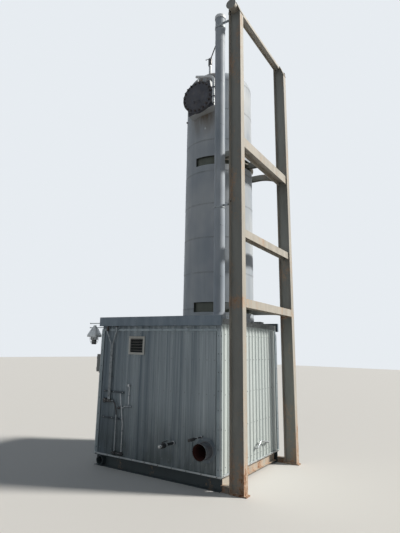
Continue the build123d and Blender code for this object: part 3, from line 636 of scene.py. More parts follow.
def long_walls(bm, x, out, z):
    """Screw in the front and in the rear wall."""
    screw(bm, x, -out, z, OUT)
    screw(bm, x, ROOM_WIDTH + out, z, BACK)


def end_walls(bm, out, y, z):
    """Screw in each end wall."""
    screw(bm, out, y, z, RIGHT)
    screw(bm, LEFT - out, y, z, LEFTWARD)


def rib_middles(low, length):
    count = int(length // RIB_PITCH)
    first = (length - count * RIB_PITCH) / 2
    return [low + (first + (i + 0.5) * RIB_PITCH) for i in range(count)]


@made("old_zinc", "galvanised")
def wall_screws(bm):
    for x in rib_middles(LEFT, ROOM_LENGTH):
        for z in SCREW_ROWS:
            long_walls(bm, x, 0, z)
    for y in rib_middles(WALL, ROOM_WIDTH - 2 * WALL):
        for z in SCREW_ROWS:
            screw(bm, 0, y, z, RIGHT)
            if abs(y - TOWER.y) > DOOR_HALF + DOOR_FRAME or z > DOOR_HEAD:
                screw(bm, LEFT, y, z, LEFTWARD)


@made("bolt", "galvanised")
def trim_screws(bm):
    heights = steps(0.33, 2.5, 0.31)
    for x in (-TRIM_LEG, LEFT + TRIM_LEG):
        for z in heights:
            long_walls(bm, x, SHEET, z)
    for y in (TRIM_LEG, ROOM_WIDTH - TRIM_LEG):
        for z in heights:
            end_walls(bm, SHEET, y, z)
    for x in steps(LEFT + 0.05, -0.05, 0.3):
        long_walls(bm, x, HEAD_TRIM_OUT, HEAD_TRIM_Z)
        long_walls(bm, x, BASE_TRIM_OUT, BASE_TRIM_Z)
    for y in steps(0.1, ROOM_WIDTH - 0.1, 0.35):
        end_walls(bm, SHEET, y, ROOF_EDGE_Z)
        end_walls(bm, BASE_TRIM_OUT, y, BASE_TRIM_Z)


@made("trim", "trim")
def corner_edges(bm):
    """Rounded folds of the corner trims."""
    for x in (SHEET, LEFT - SHEET):
        for y in (-SHEET, ROOM_WIDTH + SHEET):
            pin(bm, 0.006, TRIM_LENGTH, aimed(x, y, TRIM_LOW, UP), 10)


@made("zinc", "galvanised")
def roof_screws(bm):
    for x in rib_middles(LEFT, ROOM_LENGTH):
        for y in steps(0.18, ROOM_WIDTH - 0.18, 0.57):
            from_tower, from_pipe = (math.hypot(x - axis.x, y - axis.y) for axis in (TOWER, PIPE))
            if from_tower > ROOF_HOLE and from_pipe > PIPE_FLASHING:
                screw(bm, x, y, ROOF_CREST, UP)


# Joint straps, rivets and rolled drip edges of both eaves
EAVE_JOINTS = (LEFT + 0.94, LEFT + 1.88)
STRAP_OUT = 0.0015
EAVE_RIVET = 0.004


@made("eave", "trim")
def eave_straps(bm):
    for x in EAVE_JOINTS:
        for low, high in ((-EAVE_DEPTH - STRAP_OUT, -EAVE_DEPTH), (EAVE_BACK, EAVE_BACK + STRAP_OUT)):
            box_into(bm, (x - 0.02, low, EAVE_LOW + 0.004), (x + 0.02, high, EAVE_TOP - 0.004))


def both_eaves(bm, x, out, z):
    rivet(bm, at(x, -EAVE_DEPTH - out, z), OUT, EAVE_RIVET)
    rivet(bm, at(x, EAVE_BACK + out, z), BACK, EAVE_RIVET)


@made("rivet", "galvanised")
def eave_rivets(bm):
    for x in EAVE_JOINTS:
        for dx in (-0.012, 0.012):
            for z in steps(EAVE_LOW + 0.02, EAVE_TOP - 0.02, 0.045):
                both_eaves(bm, x + dx, STRAP_OUT, z)
    for x in steps(LEFT + 0.02, -0.02, 0.31):
        for z in (EAVE_LOW + 0.018, EAVE_TOP - 0.018):
            both_eaves(bm, x, 0, z)


@made("eave", "trim")
def eave_drips(bm):
    for y in (-EAVE_DEPTH - 0.001, EAVE_BACK + 0.001):
        pin(bm, 0.005, ROOM_LENGTH + 0.08, aimed(LEFT - 0.04, y, EAVE_LOW + 0.005, RIGHT), 8)


# Jacket of the tower
HEMS = [SEAM_TOP - i * SHEET_COURSE for i in range(1, 8)]
LAP_TURNS = ((-124, 122), (-146, 106))
LAP_WIDTH, LAP_OUT = 0.026, 0.0016
FLASHING, FLASHING_OUT = 0.03, 0.0012
JACKET_RIVET, JACKET_RIVETS = 0.0055, 44
# How far what lies on a sheet is let into it
SUNK = 0.002
PLUG_TURN, PLUG_Z = math.radians(-139), 7.41
CAP_TURN, CAP_Z = math.radians(-85), 6.98
DOME_GORES = 8


def on_tower(turn, radius, z):
    return at(*swing(TOWER.x, TOWER.y, radius, turn, z))


def outward(turn):
    return (math.cos(turn), math.sin(turn), 0)


def in_pocket(turn, z):
    return abs(turn) < POCKET_TURN and any(abs(z - middle) < POCKET_HALF for middle in POCKETS)


def behind_box(turn, z):
    return abs(turn + math.pi / 2) < 0.56 and abs(z - COVER_Z) < 0.4


def lap_places():
    """Angle, low end and top of each upright lap, staggered from course to course."""
    lows = [z + HEM_HEIGHT for z in HEMS] + [ROOF_CREST + 0.08]
    return [(math.radians(angle), low, top) for i, (low, top) in enumerate(zip(lows, [SEAM_TOP] + HEMS))
            for angle in LAP_TURNS[i % 2]]


def arc_plate(bm, turn, width, out, z0, z1, parts=4):
    """Thin plate bent round the jacket."""
    half = width / 2 / JACKET_R
    angles = [turn - half + 2 * half * i / parts for i in range(parts + 1)]
    corners = ((JACKET_R - SUNK, z0), (JACKET_R + out, z0), (JACKET_R + out, z1), (JACKET_R - SUNK, z1))
    loops = [[bm.verts.new(on_tower(angle, reach, z)) for angle in angles] for reach, z in corners]
    for low, high in zip(loops, loops[1:] + loops[:1]):
        for i in range(parts):
            bm.faces.new((low[i], low[i + 1], high[i + 1], high[i]))
    for end in (0, -1):
        bm.faces.new([loop[end] for loop in loops])


@made("jacket", "jacket_sheet")
def jacket_laps(bm):
    for turn, low, top in lap_places():
        arc_plate(bm, turn, LAP_WIDTH, LAP_OUT, low, top)


@made("rivet", "jacket_sheet")
def jacket_rivets(bm):
    """Rivets of the hems, the laps and the pockets' flashings; the short lowest laps have none."""
    rows = [(z + HEM_HEIGHT / 2, HEM_R) for z in HEMS] + [(SEAM_TOP - 0.02, JACKET_R)]
    for z, radius in rows:
        for turn in (place - math.pi for place in turns(JACKET_RIVETS)):
            if not in_pocket(turn, z) and not behind_box(turn, z):
                rivet(bm, on_tower(turn, radius, z), outward(turn), JACKET_RIVET)
    for turn, low, top in lap_places():
        if top - low > 0.2:
            for z in steps(low + 0.05, top - 0.05, 0.09):
                rivet(bm, on_tower(turn, JACKET_R + LAP_OUT, z), outward(turn), JACKET_RIVET)
    for middle in POCKETS:
        for z in (middle - POCKET_HALF - 0.014, middle + POCKET_HALF + 0.014):
            for turn in steps(-POCKET_TURN, POCKET_TURN, 0.2):
                rivet(bm, on_tower(turn, JACKET_R + FLASHING_OUT, z), outward(turn), 0.005)


@made("jacket", "jacket_sheet")
def pocket_flashings(bm):
    for z in POCKETS:
        below, above = z - POCKET_HALF, z + POCKET_HALF
        for low, high in ((below - FLASHING, below), (above, above + FLASHING)):
            arc_plate(bm, 0, 2 * POCKET_TURN * JACKET_R, FLASHING_OUT, low, high, 72)


@made("black", "dark_parts")
def jacket_plug(bm):
    """Dark plug with a hexagon head."""
    disc(bm, on_tower(PLUG_TURN, JACKET_R - SUNK, PLUG_Z), outward(PLUG_TURN), 0.028, 0.012)
    hex_bolt(bm, on_tower(PLUG_TURN, JACKET_R + 0.01, PLUG_Z), outward(PLUG_TURN), 0.017, 0.022, washer=False)


@made("trim", "jacket_sheet")
def jacket_cap(bm):
    """Pale test cap."""
    disc(bm, on_tower(CAP_TURN, JACKET_R - SUNK, CAP_Z), outward(CAP_TURN), 0.024, 0.01, edge=0.5)


def dome_height(radius):
    """Height of the jacket's dome above the seam at a distance from the axis."""
    centre = JACKET_R - DOME_KNUCKLE
    drop = math.sqrt((DOME_CROWN - DOME_KNUCKLE) ** 2 - centre ** 2)
    joint = centre + DOME_KNUCKLE * centre / (DOME_CROWN - DOME_KNUCKLE)
    if radius < joint:
        return math.sqrt(DOME_CROWN ** 2 - radius ** 2) - drop
    return math.sqrt(max(0, DOME_KNUCKLE ** 2 - (radius - centre) ** 2))


@made("jacket", "jacket_sheet")
def dome_gores(bm):
    """Raised joints between the dome's gores."""
    for turn in turns(DOME_GORES):
        side = Vector((-math.sin(turn), math.cos(turn), 0)) * 0.009
        rows = []
        for radius in steps(0.11, 0.6, 0.07) + steps(0.63, JACKET_R, 0.02):
            height = SEAM_TOP + dome_height(radius)
            low = on_tower(turn, radius - 0.001, height - 0.003)
            high = on_tower(turn, radius + 0.0008, height + 0.0018)
            rows.append([bm.verts.new(place) for place in (low - side, high - side, high + side, low + side)])
        join_rings(bm, rows)
        bm.faces.new(rows[0])
        bm.faces.new(rows[-1])


@made("jacket", "jacket_sheet")
def dome_crown(bm):
    """Round cap over the gores' tips."""
    top = dome_height(0)
    profile = [(0.13, dome_height(0.13) - top - 0.003)]
    profile += [(radius, dome_height(radius) - top + 0.003) for radius in (0.13, 0.1, 0.06)]
    lathe(bm, profile + [(0, 0.003)], turned(on_tower(0, 0, SEAM_TOP + top), UP), 32)


@made("jacket", "jacket_sheet")
def dome_hem(bm):
    inner, outer = JACKET_R - SUNK, JACKET_R + LAP_OUT
    section = ((inner, -0.03), (outer, -0.03), (outer, 0.004), (inner, 0.012))
    hoop(bm, section, turned(on_tower(0, 0, SEAM_TOP), UP), 72)


@made("zinc", "galvanised")
def collar_screws(bm):
    """Screws round the roof collar, but for the place over the roof's end."""
    for turn in turns(36, 0)[1:]:
        hex_bolt(bm, on_tower(turn, JACKET_R + 0.013, ROOF_CREST + 0.004), UP, 0.0055, 0.005)


@made("seal", "dark_parts")
def collar_sealant(bm):
    ring_bead(bm, turned(on_tower(0, 0, ROOF_CREST + 0.0815), UP), JACKET_R + 0.003, 0.005, 180)


# Manway
COVER_BOLTS, COVER_CIRCLE = 20, 0.330
COVER_FACE_Y, COVER_THICK = 0.319, 0.040
HANDLE_R, HANDLE_HALF, HANDLE_OUT, HANDLE_Z = 0.009, 0.07, 0.05, COVER_Z - 0.12
BOX_SIDE = 0.650
BOX_FACE_Y = 0.4005
BOX_TURN = math.radians(10)


def box_frame(y):
    """Transform to the middle of the manway's insulation box, turned like the box."""
    return Matrix.Translation(at(TOWER.x, y, COVER_Z)) @ Matrix.Rotation(-BOX_TURN, 4, "Y")


@made("bolt", "rusty_steel")
def manway_bolts(bm):
    """Nuts on studs."""
    for turn in turns(COVER_BOLTS):
        hex_bolt(bm, on_front(TOWER.x, COVER_FACE_Y, COVER_Z, COVER_CIRCLE, turn), OUT, 0.023, 0.026)
        end = on_front(TOWER.x, COVER_FACE_Y - 0.02, COVER_Z, COVER_CIRCLE, turn)
        nut(bm, 0.0125, 0.024, 0.0095, 0.029, turned(end, OUT), 10)


@made("black", "dark_parts")
def manway_gasket(bm):
    place = aimed(TOWER.x, COVER_FACE_Y + COVER_THICK + 0.004, COVER_Z, OUT)
    band(bm, COVER_R - 0.01, COVER_R + 0.0012, 0, 0.008, place, 64)


@made("cover", "rusty_steel")
def manway_handle(bm):
    """Raised middle of the cover and its bar handle."""
    nut(bm, 0.278, 0.004, 0.27, 0.007, aimed(TOWER.x, COVER_FACE_Y + 0.002, COVER_Z, OUT), 64)
    for side in (-1, 1):
        pin(bm, HANDLE_R, HANDLE_OUT, aimed(TOWER.x + side * HANDLE_HALF, COVER_FACE_Y, HANDLE_Z, OUT), 10)
    start = aimed(TOWER.x - HANDLE_HALF - HANDLE_R, COVER_FACE_Y - HANDLE_OUT, HANDLE_Z, RIGHT)
    pin(bm, HANDLE_R, 2 * (HANDLE_HALF + HANDLE_R), start, 10)


@made("box", "jacket_sheet")
def manway_box_edges(bm):
    """Folded angles along the box's four edges."""
    half = BOX_SIDE / 2 + 0.001
    for sx in (-1, 1):
        for sz in (-1, 1):
            for wide, high in ((0.03, 0.0015), (0.0015, 0.03)):
                middle = Vector((sx * (half - wide / 2), 0.1, sz * (half - high / 2)))
                slab(bm, box_frame(BOX_FACE_Y), middle, (wide, 0.2, high))


@made("cover", "jacket_sheet")
def manway_box_face(bm):
    """Dark plates on the box's face round the cover."""
    half, wide, thick = BOX_SIDE / 2 + 0.0015, 0.13, 0.0016
    for sx, sz in ((1, 0), (-1, 0), (0, 1), (0, -1)):
        middle = Vector((sx * (half - wide / 2), -0.0002, sz * (half - wide / 2)))
        size = (wide, thick, 2 * half) if sx else (2 * (half - wide), thick, wide)
        slab(bm, box_frame(BOX_FACE_Y), middle, size)


@made("rivet", "jacket_sheet")
def manway_box_rivets(bm):
    edge = BOX_SIDE / 2 - 0.012
    for u in steps(-edge, edge, 0.075):
        for x, z in ((u, edge), (u, -edge), (edge, u), (-edge, u)):
            if math.hypot(x, z) > COVER_R + 0.008:
                rivet(bm, box_frame(BOX_FACE_Y - 0.001) @ Vector((x, 0, z)), OUT, 0.005)


# Side pipe and vent
PIPE_BANDS = (3.6, 4.6, 5.75, 6.75, 7.75, 8.75)
BRACKETS = (9.125, 4.985)
BRACKET_X, BRACKET_THICK = 0.1617, 0.0195
VENT_X, VENT_Y = -0.780, TOWER.y - 0.425


@made("pipe", "jacket_sheet")
def side_pipe_bands(bm):
    """Bands round the side pipe and the flashing at its foot."""
    for z in PIPE_BANDS:
        band(bm, PIPE_R - SUNK, PIPE_R + LAP_OUT, 0, 0.019, aimed(PIPE.x, PIPE.y, z, UP), 40)
    inner, rim = PIPE_R - SUNK, 0.19
    section = ((inner, 0), (rim, 0), (rim, 0.006), (PIPE_R + 0.03, 0.012),
               (PIPE_R + 0.004, 0.12), (inner, 0.12))
    hoop(bm, section, aimed(PIPE.x, PIPE.y, ROOF_CREST - 0.004, UP), 40)


@made("bolt", "galvanised")
def bracket_bolts(bm):
    """Rivets of the bands and bolts of the side pipe's brackets."""
    turn = math.radians(-50)
    for z in PIPE_BANDS:
        rivet(bm, at(*(PIPE + Vector(swing(0, 0, PIPE_R, turn, z + 0.0095)))), outward(turn), 0.007)
    for z in BRACKETS:
        for y in (0.045, 0.120):
            hex_bolt(bm, at(BRACKET_X, y, z), LEFTWARD, 0.012, 0.011)
            hex_bolt(bm, at(BRACKET_X + BRACKET_THICK, y, z), RIGHT, 0.012, 0.011)
        for x in (-0.04, 0.06):
            hex_bolt(bm, at(x, 0.185, z), OUT, 0.011, 0.010)


@made("zinc", "galvanised")
def vent_fittings(bm):
    """Nuts of the vent's valve, and a union at each end of its line to the side pipe."""
    for z in (8.45, 8.755):
        nut(bm, 0.040, 0.03, 0.036, 0.036, aimed(VENT_X, VENT_Y, z, UP, 0.3), 6)
    along = Vector((PIPE.x - VENT_X, PIPE.y - VENT_Y, 0.06)).normalized()
    start = at(VENT_X, VENT_Y, 8.93) + along * 0.05
    nut(bm, 0.022, 0.028, 0.018, 0.034, turned(start, along), 6)
    end = at(PIPE.x, PIPE.y, 8.99) - along * (PIPE_R + 0.032)
    turning(bm, ((0.02, 0), (0.024, 0.01), (0.024, 0.034)), turned(end, along), 8)


@made("black", "dark_parts")
def vent_lever(bm):
    disc(bm, at(VENT_X, VENT_Y, 8.966), UP, 0.016, 0.012, 12)
    box_into(bm, (VENT_X - 0.115, VENT_Y - 0.009, 8.974), (VENT_X + 0.012, VENT_Y + 0.009, 8.979))
    disc(bm, at(VENT_X - 0.112, VENT_Y, 8.969), UP, 0.013, 0.014, 12)


@made("box", "jacket_sheet")
def vent_flashing(bm):
    section = ((0.031, -0.03), (0.075, -0.022), (0.06, 0.01), (0.034, 0.055), (0.028, 0.055), (0.028, -0.03))
    hoop(bm, section, aimed(VENT_X, VENT_Y, SEAM_TOP + dome_height(0.425), UP), 24)


# Frame welds
RUNG_HALF, HIGH_RUNG_HALF = 0.075, 0.0975
LOW_RUNG_FACE, HIGH_RUNG_FACE = 0.280, 0.199
ARM_HALF, ARM_WEB_HALF, OUTER_ARM = 0.057, 0.0575, 1.145
TRUNNION_X, TRUNNION_Z, TRUNNION_BEAD_R = 0.281, 9.222, 0.0855


def upright_bead(bm, x, y, z, half, radius):
    bead(bm, (x, y, z - half), (x, y, z + half), radius)


@made("weld", "frame_paint")
def frame_welds(bm):
    """Beads where the rungs meet the columns, the saddles' arms meet the rungs, and round the trunnions."""
    for y in (COLUMN_WIDTH + 0.002, ROOM_WIDTH - COLUMN_WIDTH - 0.002):
        upright_bead(bm, COLUMN_OUTER - 0.001, y, LOW_RUNG, RUNG_HALF, 0.004)
        for z, half, back in ((LOW_RUNG, RUNG_HALF, 0.0), (MIDDLE_RUNG, RUNG_HALF, 0.03),
                              (HIGH_RUNG, HIGH_RUNG_HALF, 0.03)):
            for edge in (z - half, z + half):
                bead(bm, (COLUMN_OUTER - back - 0.009, y, edge), (COLUMN_OUTER - back - 0.1, y, edge), 0.0035)
    for face, z in ((LOW_RUNG_FACE, LOW_RUNG), (HIGH_RUNG_FACE, HIGH_RUNG)):
        for off in (-ARM_WEB_HALF, ARM_WEB_HALF, -OUTER_ARM, OUTER_ARM):
            upright_bead(bm, face, TOWER.y + off, z, ARM_HALF, 0.005)
        for edge in (z - 0.005, z + 0.005):
            bead(bm, (face, TOWER.y - 0.053, edge), (face, TOWER.y + 0.053, edge), 0.004)
    for y, side in ((COLUMN_WIDTH / 2, -1), (ROOM_WIDTH - COLUMN_WIDTH / 2, 1)):
        web = y + side * 0.0035
        for out, thick in ((0.002, 0.006), (0.179, 0.005)):
            place = aimed(TRUNNION_X, web + side * out, TRUNNION_Z, (0, side, 0))
            ring_bead(bm, place, TRUNNION_BEAD_R, thick, 80)


# Louvre
@made("zinc", "galvanised")
def louvre_screws(bm):
    wide, high = LOUVRE_HALF_X + 0.011, LOUVRE_HALF_Z + 0.011
    spots = [(dx, dz) for dx in (-wide, 0, wide) for dz in (-high, high)]
    spots += [(dx, dz) for dx in (-wide, wide) for dz in (-0.06, 0.06)]
    for dx, dz in spots:
        hex_bolt(bm, at(LOUVRE_X + dx, -0.006, LOUVRE_Z + dz), OUT, 0.006, 0.005)


@made("black", "dark_parts")
def louvre_screen(bm):
    """Insect screen behind the blades."""
    wide, high, thin = LOUVRE_HALF_X - 0.021, LOUVRE_HALF_Z - 0.021, 0.0006
    for x in steps(-wide, wide, 0.0125):
        x += LOUVRE_X
        box_into(bm, (x - thin, 0.060, LOUVRE_Z - high), (x + thin, 0.0612, LOUVRE_Z + high))
    for z in steps(-high, high, 0.0125):
        z += LOUVRE_Z
        box_into(bm, (LOUVRE_X - wide, 0.0606, z - thin), (LOUVRE_X + wide, 0.0618, z + thin))


# Nozzle, drain and sample pipe
RING_R, RING_CIRCLE = 0.201, 0.182
DRAIN_X, DRAIN_Z = -0.924, 0.638
SAMPLE_X, SAMPLE_Z = -0.350, 0.805


@made("old_zinc", "galvanised")
def nozzle_screws(bm):
    for turn in turns(8):
        hex_bolt(bm, on_front(NOZZLE_X, -0.004, NOZZLE_Z, RING_CIRCLE, turn), OUT, 0.008, 0.006)


@made("seal", "dark_parts")
def nozzle_sealant(bm):
    ring_bead(bm, aimed(NOZZLE_X, -0.005, NOZZLE_Z, OUT), NOZZLE_R + 0.002, 0.0045, 90)


@made("ring", "galvanised")
def nozzle_ring_edge(bm):
    band(bm, RING_R - 0.007, RING_R, 0, 0.003, aimed(NOZZLE_X, -0.0035, NOZZLE_Z, OUT), 72)


@made("trim", "rusty_steel")
def nozzle_lip(bm):
    section = ((0.1275, 0), (0.1371, 0), (0.1371, 0.0035), (0.1335, 0.004), (0.1275, 0.004))
    hoop(bm, section, aimed(NOZZLE_X, -0.221, NOZZLE_Z, OUT), 64)


@made("zinc", "galvanised")
def pipe_unions(bm):
    for y, size, length in ((-0.243, 0.037, 0.046), (-0.02, 0.034, 0.02)):
        outline = ((size * 0.9, 0), (size, 0.004), (size, length - 0.004), (size * 0.9, length))
        turning(bm, outline, aimed(DRAIN_X, y, DRAIN_Z, OUT, 0.2), 8)
    plug = ((0.031, 0), (0.031, 0.012), (0.026, 0.014), (0.026, 0.018))
    turning(bm, plug, aimed(DRAIN_X, -0.411, DRAIN_Z, OUT), 6)
    for y in (-0.02, -0.16):
        nut(bm, 0.019, 0.018, 0.016, 0.021, aimed(SAMPLE_X, y, SAMPLE_Z, OUT), 6)


@made("black", "dark_parts")
def sample_knobs(bm):
    """Knobs with eight lobes."""
    for y, size in ((-0.397, 0.0232), (-0.325, 0.026), (-0.255, 0.026)):
        centre = aimed(SAMPLE_X, y, SAMPLE_Z, OUT)
        rings = [], []
        for turn in turns(40, 0):
            reach = size * (1 - 0.09 * (0.5 + 0.5 * math.cos(8 * turn)))
            for ring, height in zip(rings, (0.002, 0.03)):
                ring.append(bm.verts.new(centre @ Vector(swing(0, 0, reach, turn, height))))
        join_rings(bm, rings)
        for ring in rings:
            bm.faces.new(ring)


@made()
def drain_grip():
    """Wire grip of the drain valve."""
    side, high = 0.034, 0.699
    grip = [(DRAIN_X, -0.349, 0.694), (DRAIN_X, -0.27, high), (DRAIN_X + side, -0.205, high),
            (DRAIN_X, -0.202, high), (DRAIN_X - side, -0.205, high), (DRAIN_X, -0.27, high)]
    curve("drain_grip", grip, 0.004, "black")


# Struts, conduits and hose
CONDUIT_Y, CONDUIT_R = -0.0345, 0.0135
LEFT_CONDUIT, RIGHT_CONDUIT, LOW_CONDUIT = LEFT + 0.303, LEFT + 0.333, LEFT + 0.532
SEAL_CONDUIT, SECOND_VALVE = LEFT + 0.172, LEFT + 0.700
HIGH_STRUT, LOW_STRUT = 1.395, 0.906
JUNCTION_X, JUNCTION_Z = LEFT + 0.226, 1.223
TUBE_Y, TUBE_R, TUBE_Z = -0.024, 0.008, 1.152
ISOLATOR_Y, ISOLATOR_Z = -0.030, 1.105
# Conduit, height, and whether the strap stands on a block
STRAPS = ((LEFT_CONDUIT, HIGH_STRUT, False), (RIGHT_CONDUIT, HIGH_STRUT, False),
          (LOW_CONDUIT, LOW_STRUT, False), (LEFT_CONDUIT, 2.12, True), (RIGHT_CONDUIT, 2.02, True),
          (LEFT_CONDUIT, 1.74, True), (RIGHT_CONDUIT, 1.68, True), (LOW_CONDUIT, 0.55, True))


def strap(bm, x, y, z, radius, block):
    """Strap round an upright tube, with two ears, and a block behind it where it stands off the wall."""
    turning(bm, ((radius + 0.003, -0.011), (radius + 0.003, 0.011)), aimed(x, y, z, UP), 16)
    ear = radius + 0.020
    box_into(bm, (x - ear, y - 0.002 + radius - 0.003, z - 0.010), (x + ear, y + radius, z + 0.010))
    if block:
        box_into(bm, (x - 0.014, y + radius, z - 0.012), (x + 0.014, 0.004, z + 0.012))


@made("old_zinc", "galvanised")
def conduit_straps(bm):
    for x, z, block in STRAPS:
        strap(bm, x, CONDUIT_Y, z, CONDUIT_R, block)
    for z in (0.70, 0.45):
        strap(bm, SECOND_VALVE, -0.021 - TUBE_R, z, TUBE_R, True)
    strap(bm, LEFT + 0.812, -TUBE_R, 1.35, TUBE_R, False)


@made("bolt", "galvanised")
def strap_screws(bm):
    for x, z, block in STRAPS:
        for side in (-1, 1):
            hex_bolt(bm, at(x + side * 0.026, CONDUIT_Y + CONDUIT_R - 0.005, z), OUT, 0.006, 0.005)


@made("old_zinc", "galvanised")
def conduit_couplings(bm):
    for x in (LEFT_CONDUIT, RIGHT_CONDUIT):
        for z, spin, sides in ((1.246, 0.4, 8), (1.90, 0.2, 12)):
            nut(bm, 0.0185, 0.03, 0.0165, 0.034, aimed(x, CONDUIT_Y, z, UP, spin), sides)
    ferrule = ((0.02, 0), (0.02, 0.014), (0.0175, 0.016), (0.0175, 0.034), (0.0145, 0.042))
    turning(bm, ferrule, aimed(LEFT + 0.394, CONDUIT_Y, JUNCTION_Z, RIGHT, 0.3), 8)
    turning(bm, ferrule, aimed(LOW_CONDUIT, CONDUIT_Y, 0.935, UP, 0.3), 8)
    pin(bm, 0.02, 0.10, aimed(LEFT + 0.765, TUBE_Y, TUBE_Z, RIGHT, 0.2), 8)
    pin(bm, 0.013, 0.04, aimed(LEFT + 0.862, TUBE_Y, TUBE_Z, RIGHT), 10)


@made("bolt", "galvanised")
def conduit_seals(bm):
    """Sealing fitting under the eaves and the nuts above it."""
    outline = ((0.019, 0), (0.024, 0.012), (0.024, 0.085), (0.019, 0.098))
    turning(bm, outline, aimed(SEAL_CONDUIT, CONDUIT_Y, 2.578, UP), 12)
    for x in (SEAL_CONDUIT, LEFT + 0.419):
        nut(bm, 0.021, 0.02, 0.018, 0.024, aimed(x, CONDUIT_Y, 2.652, UP), 6)


@made("black", "dark_parts")
def junction_cover(bm):
    nut(bm, 0.041, 0.004, 0.036, 0.008, aimed(JUNCTION_X, -0.061, JUNCTION_Z, OUT), 32)
    for turn in turns(8, 0):
        disc(bm, on_front(JUNCTION_X, -0.045, JUNCTION_Z, 0.043, turn), OUT, 0.006, 0.02, 8)


@made("zinc", "galvanised")
def junction_screws(bm):
    for turn in turns(4):
        rivet(bm, on_front(JUNCTION_X, -0.069, JUNCTION_Z, 0.029, turn), OUT, 0.005)
    for dx in (0.075, 0.145):
        rivet(bm, at(JUNCTION_X + dx, -0.059, JUNCTION_Z), OUT, 0.005)


@made("zinc", "galvanised")
def strut_nuts(bm):
    for z in (HIGH_STRUT, LOW_STRUT):
        for dx in (0.175, 0.40, 0.64):
            hex_bolt(bm, at(LEFT + dx, -0.0035, z), OUT, 0.008, 0.007)


@made("black", "dark_parts")
def manifold_valves(bm):
    """Bonnets and levers of the manifold's two valves, and its end nuts."""
    for x in (LOW_CONDUIT, SECOND_VALVE):
        nut(bm, 0.033, 0.012, 0.029, 0.016, aimed(x, CONDUIT_Y, 0.31, UP, 0.1), 6)
        disc(bm, at(x, CONDUIT_Y - 0.028, 0.288), OUT, 0.010, 0.012, 10)
        box_into(bm, (x - 0.006, CONDUIT_Y - 0.044, 0.282), (x + 0.045, CONDUIT_Y - 0.039, 0.294))
    for x, way in ((LEFT + 0.475, LEFTWARD), (LEFT + 0.729, RIGHT)):
        nut(bm, 0.018, 0.016, 0.015, 0.02, aimed(x, CONDUIT_Y, 0.288, way), 6)


@made("black", "dark_parts")
def isolator(bm):
    """Small isolator with a lever, held to the wall by a block."""
    place = at(LEFT + 0.565, ISOLATOR_Y, ISOLATOR_Z)
    outline = ((0.018, 0), (0.026, 0.012), (0.028, 0.03), (0.026, 0.048), (0.018, 0.06))
    turning(bm, outline, turned(place, RIGHT), 16)
    disc(bm, place + Vector((0.03, -0.024, 0)), OUT, 0.009, 0.022, 10)
    box_into(bm, (LEFT + 0.585, -0.079, 1.099), (LEFT + 0.675, -0.073, 1.112))
    box_into(bm, (LEFT + 0.58, -0.012, 1.085), (LEFT + 0.61, 0.004, 1.125))


@made()
def isolator_tube():
    """Bent tube from the isolator to the union beside it."""
    feed = [(LEFT + 0.62, ISOLATOR_Y, ISOLATOR_Z), (LEFT + 0.69, ISOLATOR_Y, ISOLATOR_Z),
            (LEFT + 0.73, -0.027, TUBE_Z), (LEFT + 0.77, TUBE_Y, TUBE_Z)]
    curve("isolator_tube", feed, TUBE_R, "zinc")


# Lamp, box, door and end tube
LAMP_X, LAMP_Y = LEFT - 0.345, 0.120
GUARD_R = 0.003
END_BOX_FACE = LEFT - 0.113
DOOR_NEAR, DOOR_FAR = TOWER.y - DOOR_HALF, TOWER.y + DOOR_HALF
DOOR_FACE = LEFT + 0.012
# The end tube's feet on the wall, its bend, and how far it stands off
END_TUBE = Vector((0, 1.410, 0.451)), Vector((0, 1.561, 0.558)), Vector((0, 1.979, 0.474))
END_TUBE_OUT = Vector((0.060, 0, 0))


@made("zinc", "galvanised")
def lamp_ribs(bm):
    """Bands and ribs of the shade, and its hub."""
    centre = aimed(LAMP_X, LAMP_Y, 0, UP)
    for z, radius in ((2.4605, 0.1555), (2.498, 0.1553)):
        band(bm, radius - 0.004, radius + 0.001, z - 0.002, z + 0.003, centre, 40)
    for turn in turns(12, 0):
        start = at(*swing(LAMP_X, LAMP_Y, 0.062, turn, 2.648))
        end = at(*swing(LAMP_X, LAMP_Y, 0.153, turn, 2.502))
        length = (end - start).length
        lathe(bm, ((0, 0), (0.005, 0.004), (0.004, length), (0, length)), turned(start, end - start), 6)
    hub = ((0.045, 0), (0.045, 0.03), (0.032, 0.05), (0.032, 0.066))
    turning(bm, hub, aimed(LAMP_X, LAMP_Y, 2.64, UP), 24)


@made("bolt", "galvanised")
def lamp_bolts(bm):
    for dz in (-0.06, 0, 0.06):
        for dy in (-0.025, 0.025):
            hex_bolt(bm, at(LEFT - 0.011, LAMP_Y + dy, 2.703 + dz), LEFTWARD, 0.008, 0.008)
    for z in (2.6575, 2.7485):
        for dx in (0.03, 0.46):
            pin(bm, 0.0125, 0.014, aimed(LEFT - 0.003 - dx - 0.012, LAMP_Y, z, LEFTWARD), 6)


@made()
def lamp_guard():
    """Wires down the jar and two rings that hold them."""
    guard = ((0.098, 2.462), (0.094, 2.42), (0.086, 2.37), (0.060, 2.325), (0.052, 2.318))
    for i, turn in enumerate(turns(8, 0)):
        wire = [swing(LAMP_X, LAMP_Y, radius, turn, z) for radius, z in guard]
        curve("lamp_guard_" + str(i + 1), wire, GUARD_R, "zinc")
    for name, radius, z in (("lamp_ring_high", 0.0945, 2.425), ("lamp_ring_low", 0.079, 2.355)):
        circle = [swing(LAMP_X, LAMP_Y, radius, turn, z) for turn in turns(16, 0)]
        curve(name, circle, GUARD_R, "zinc", cyclic=True)


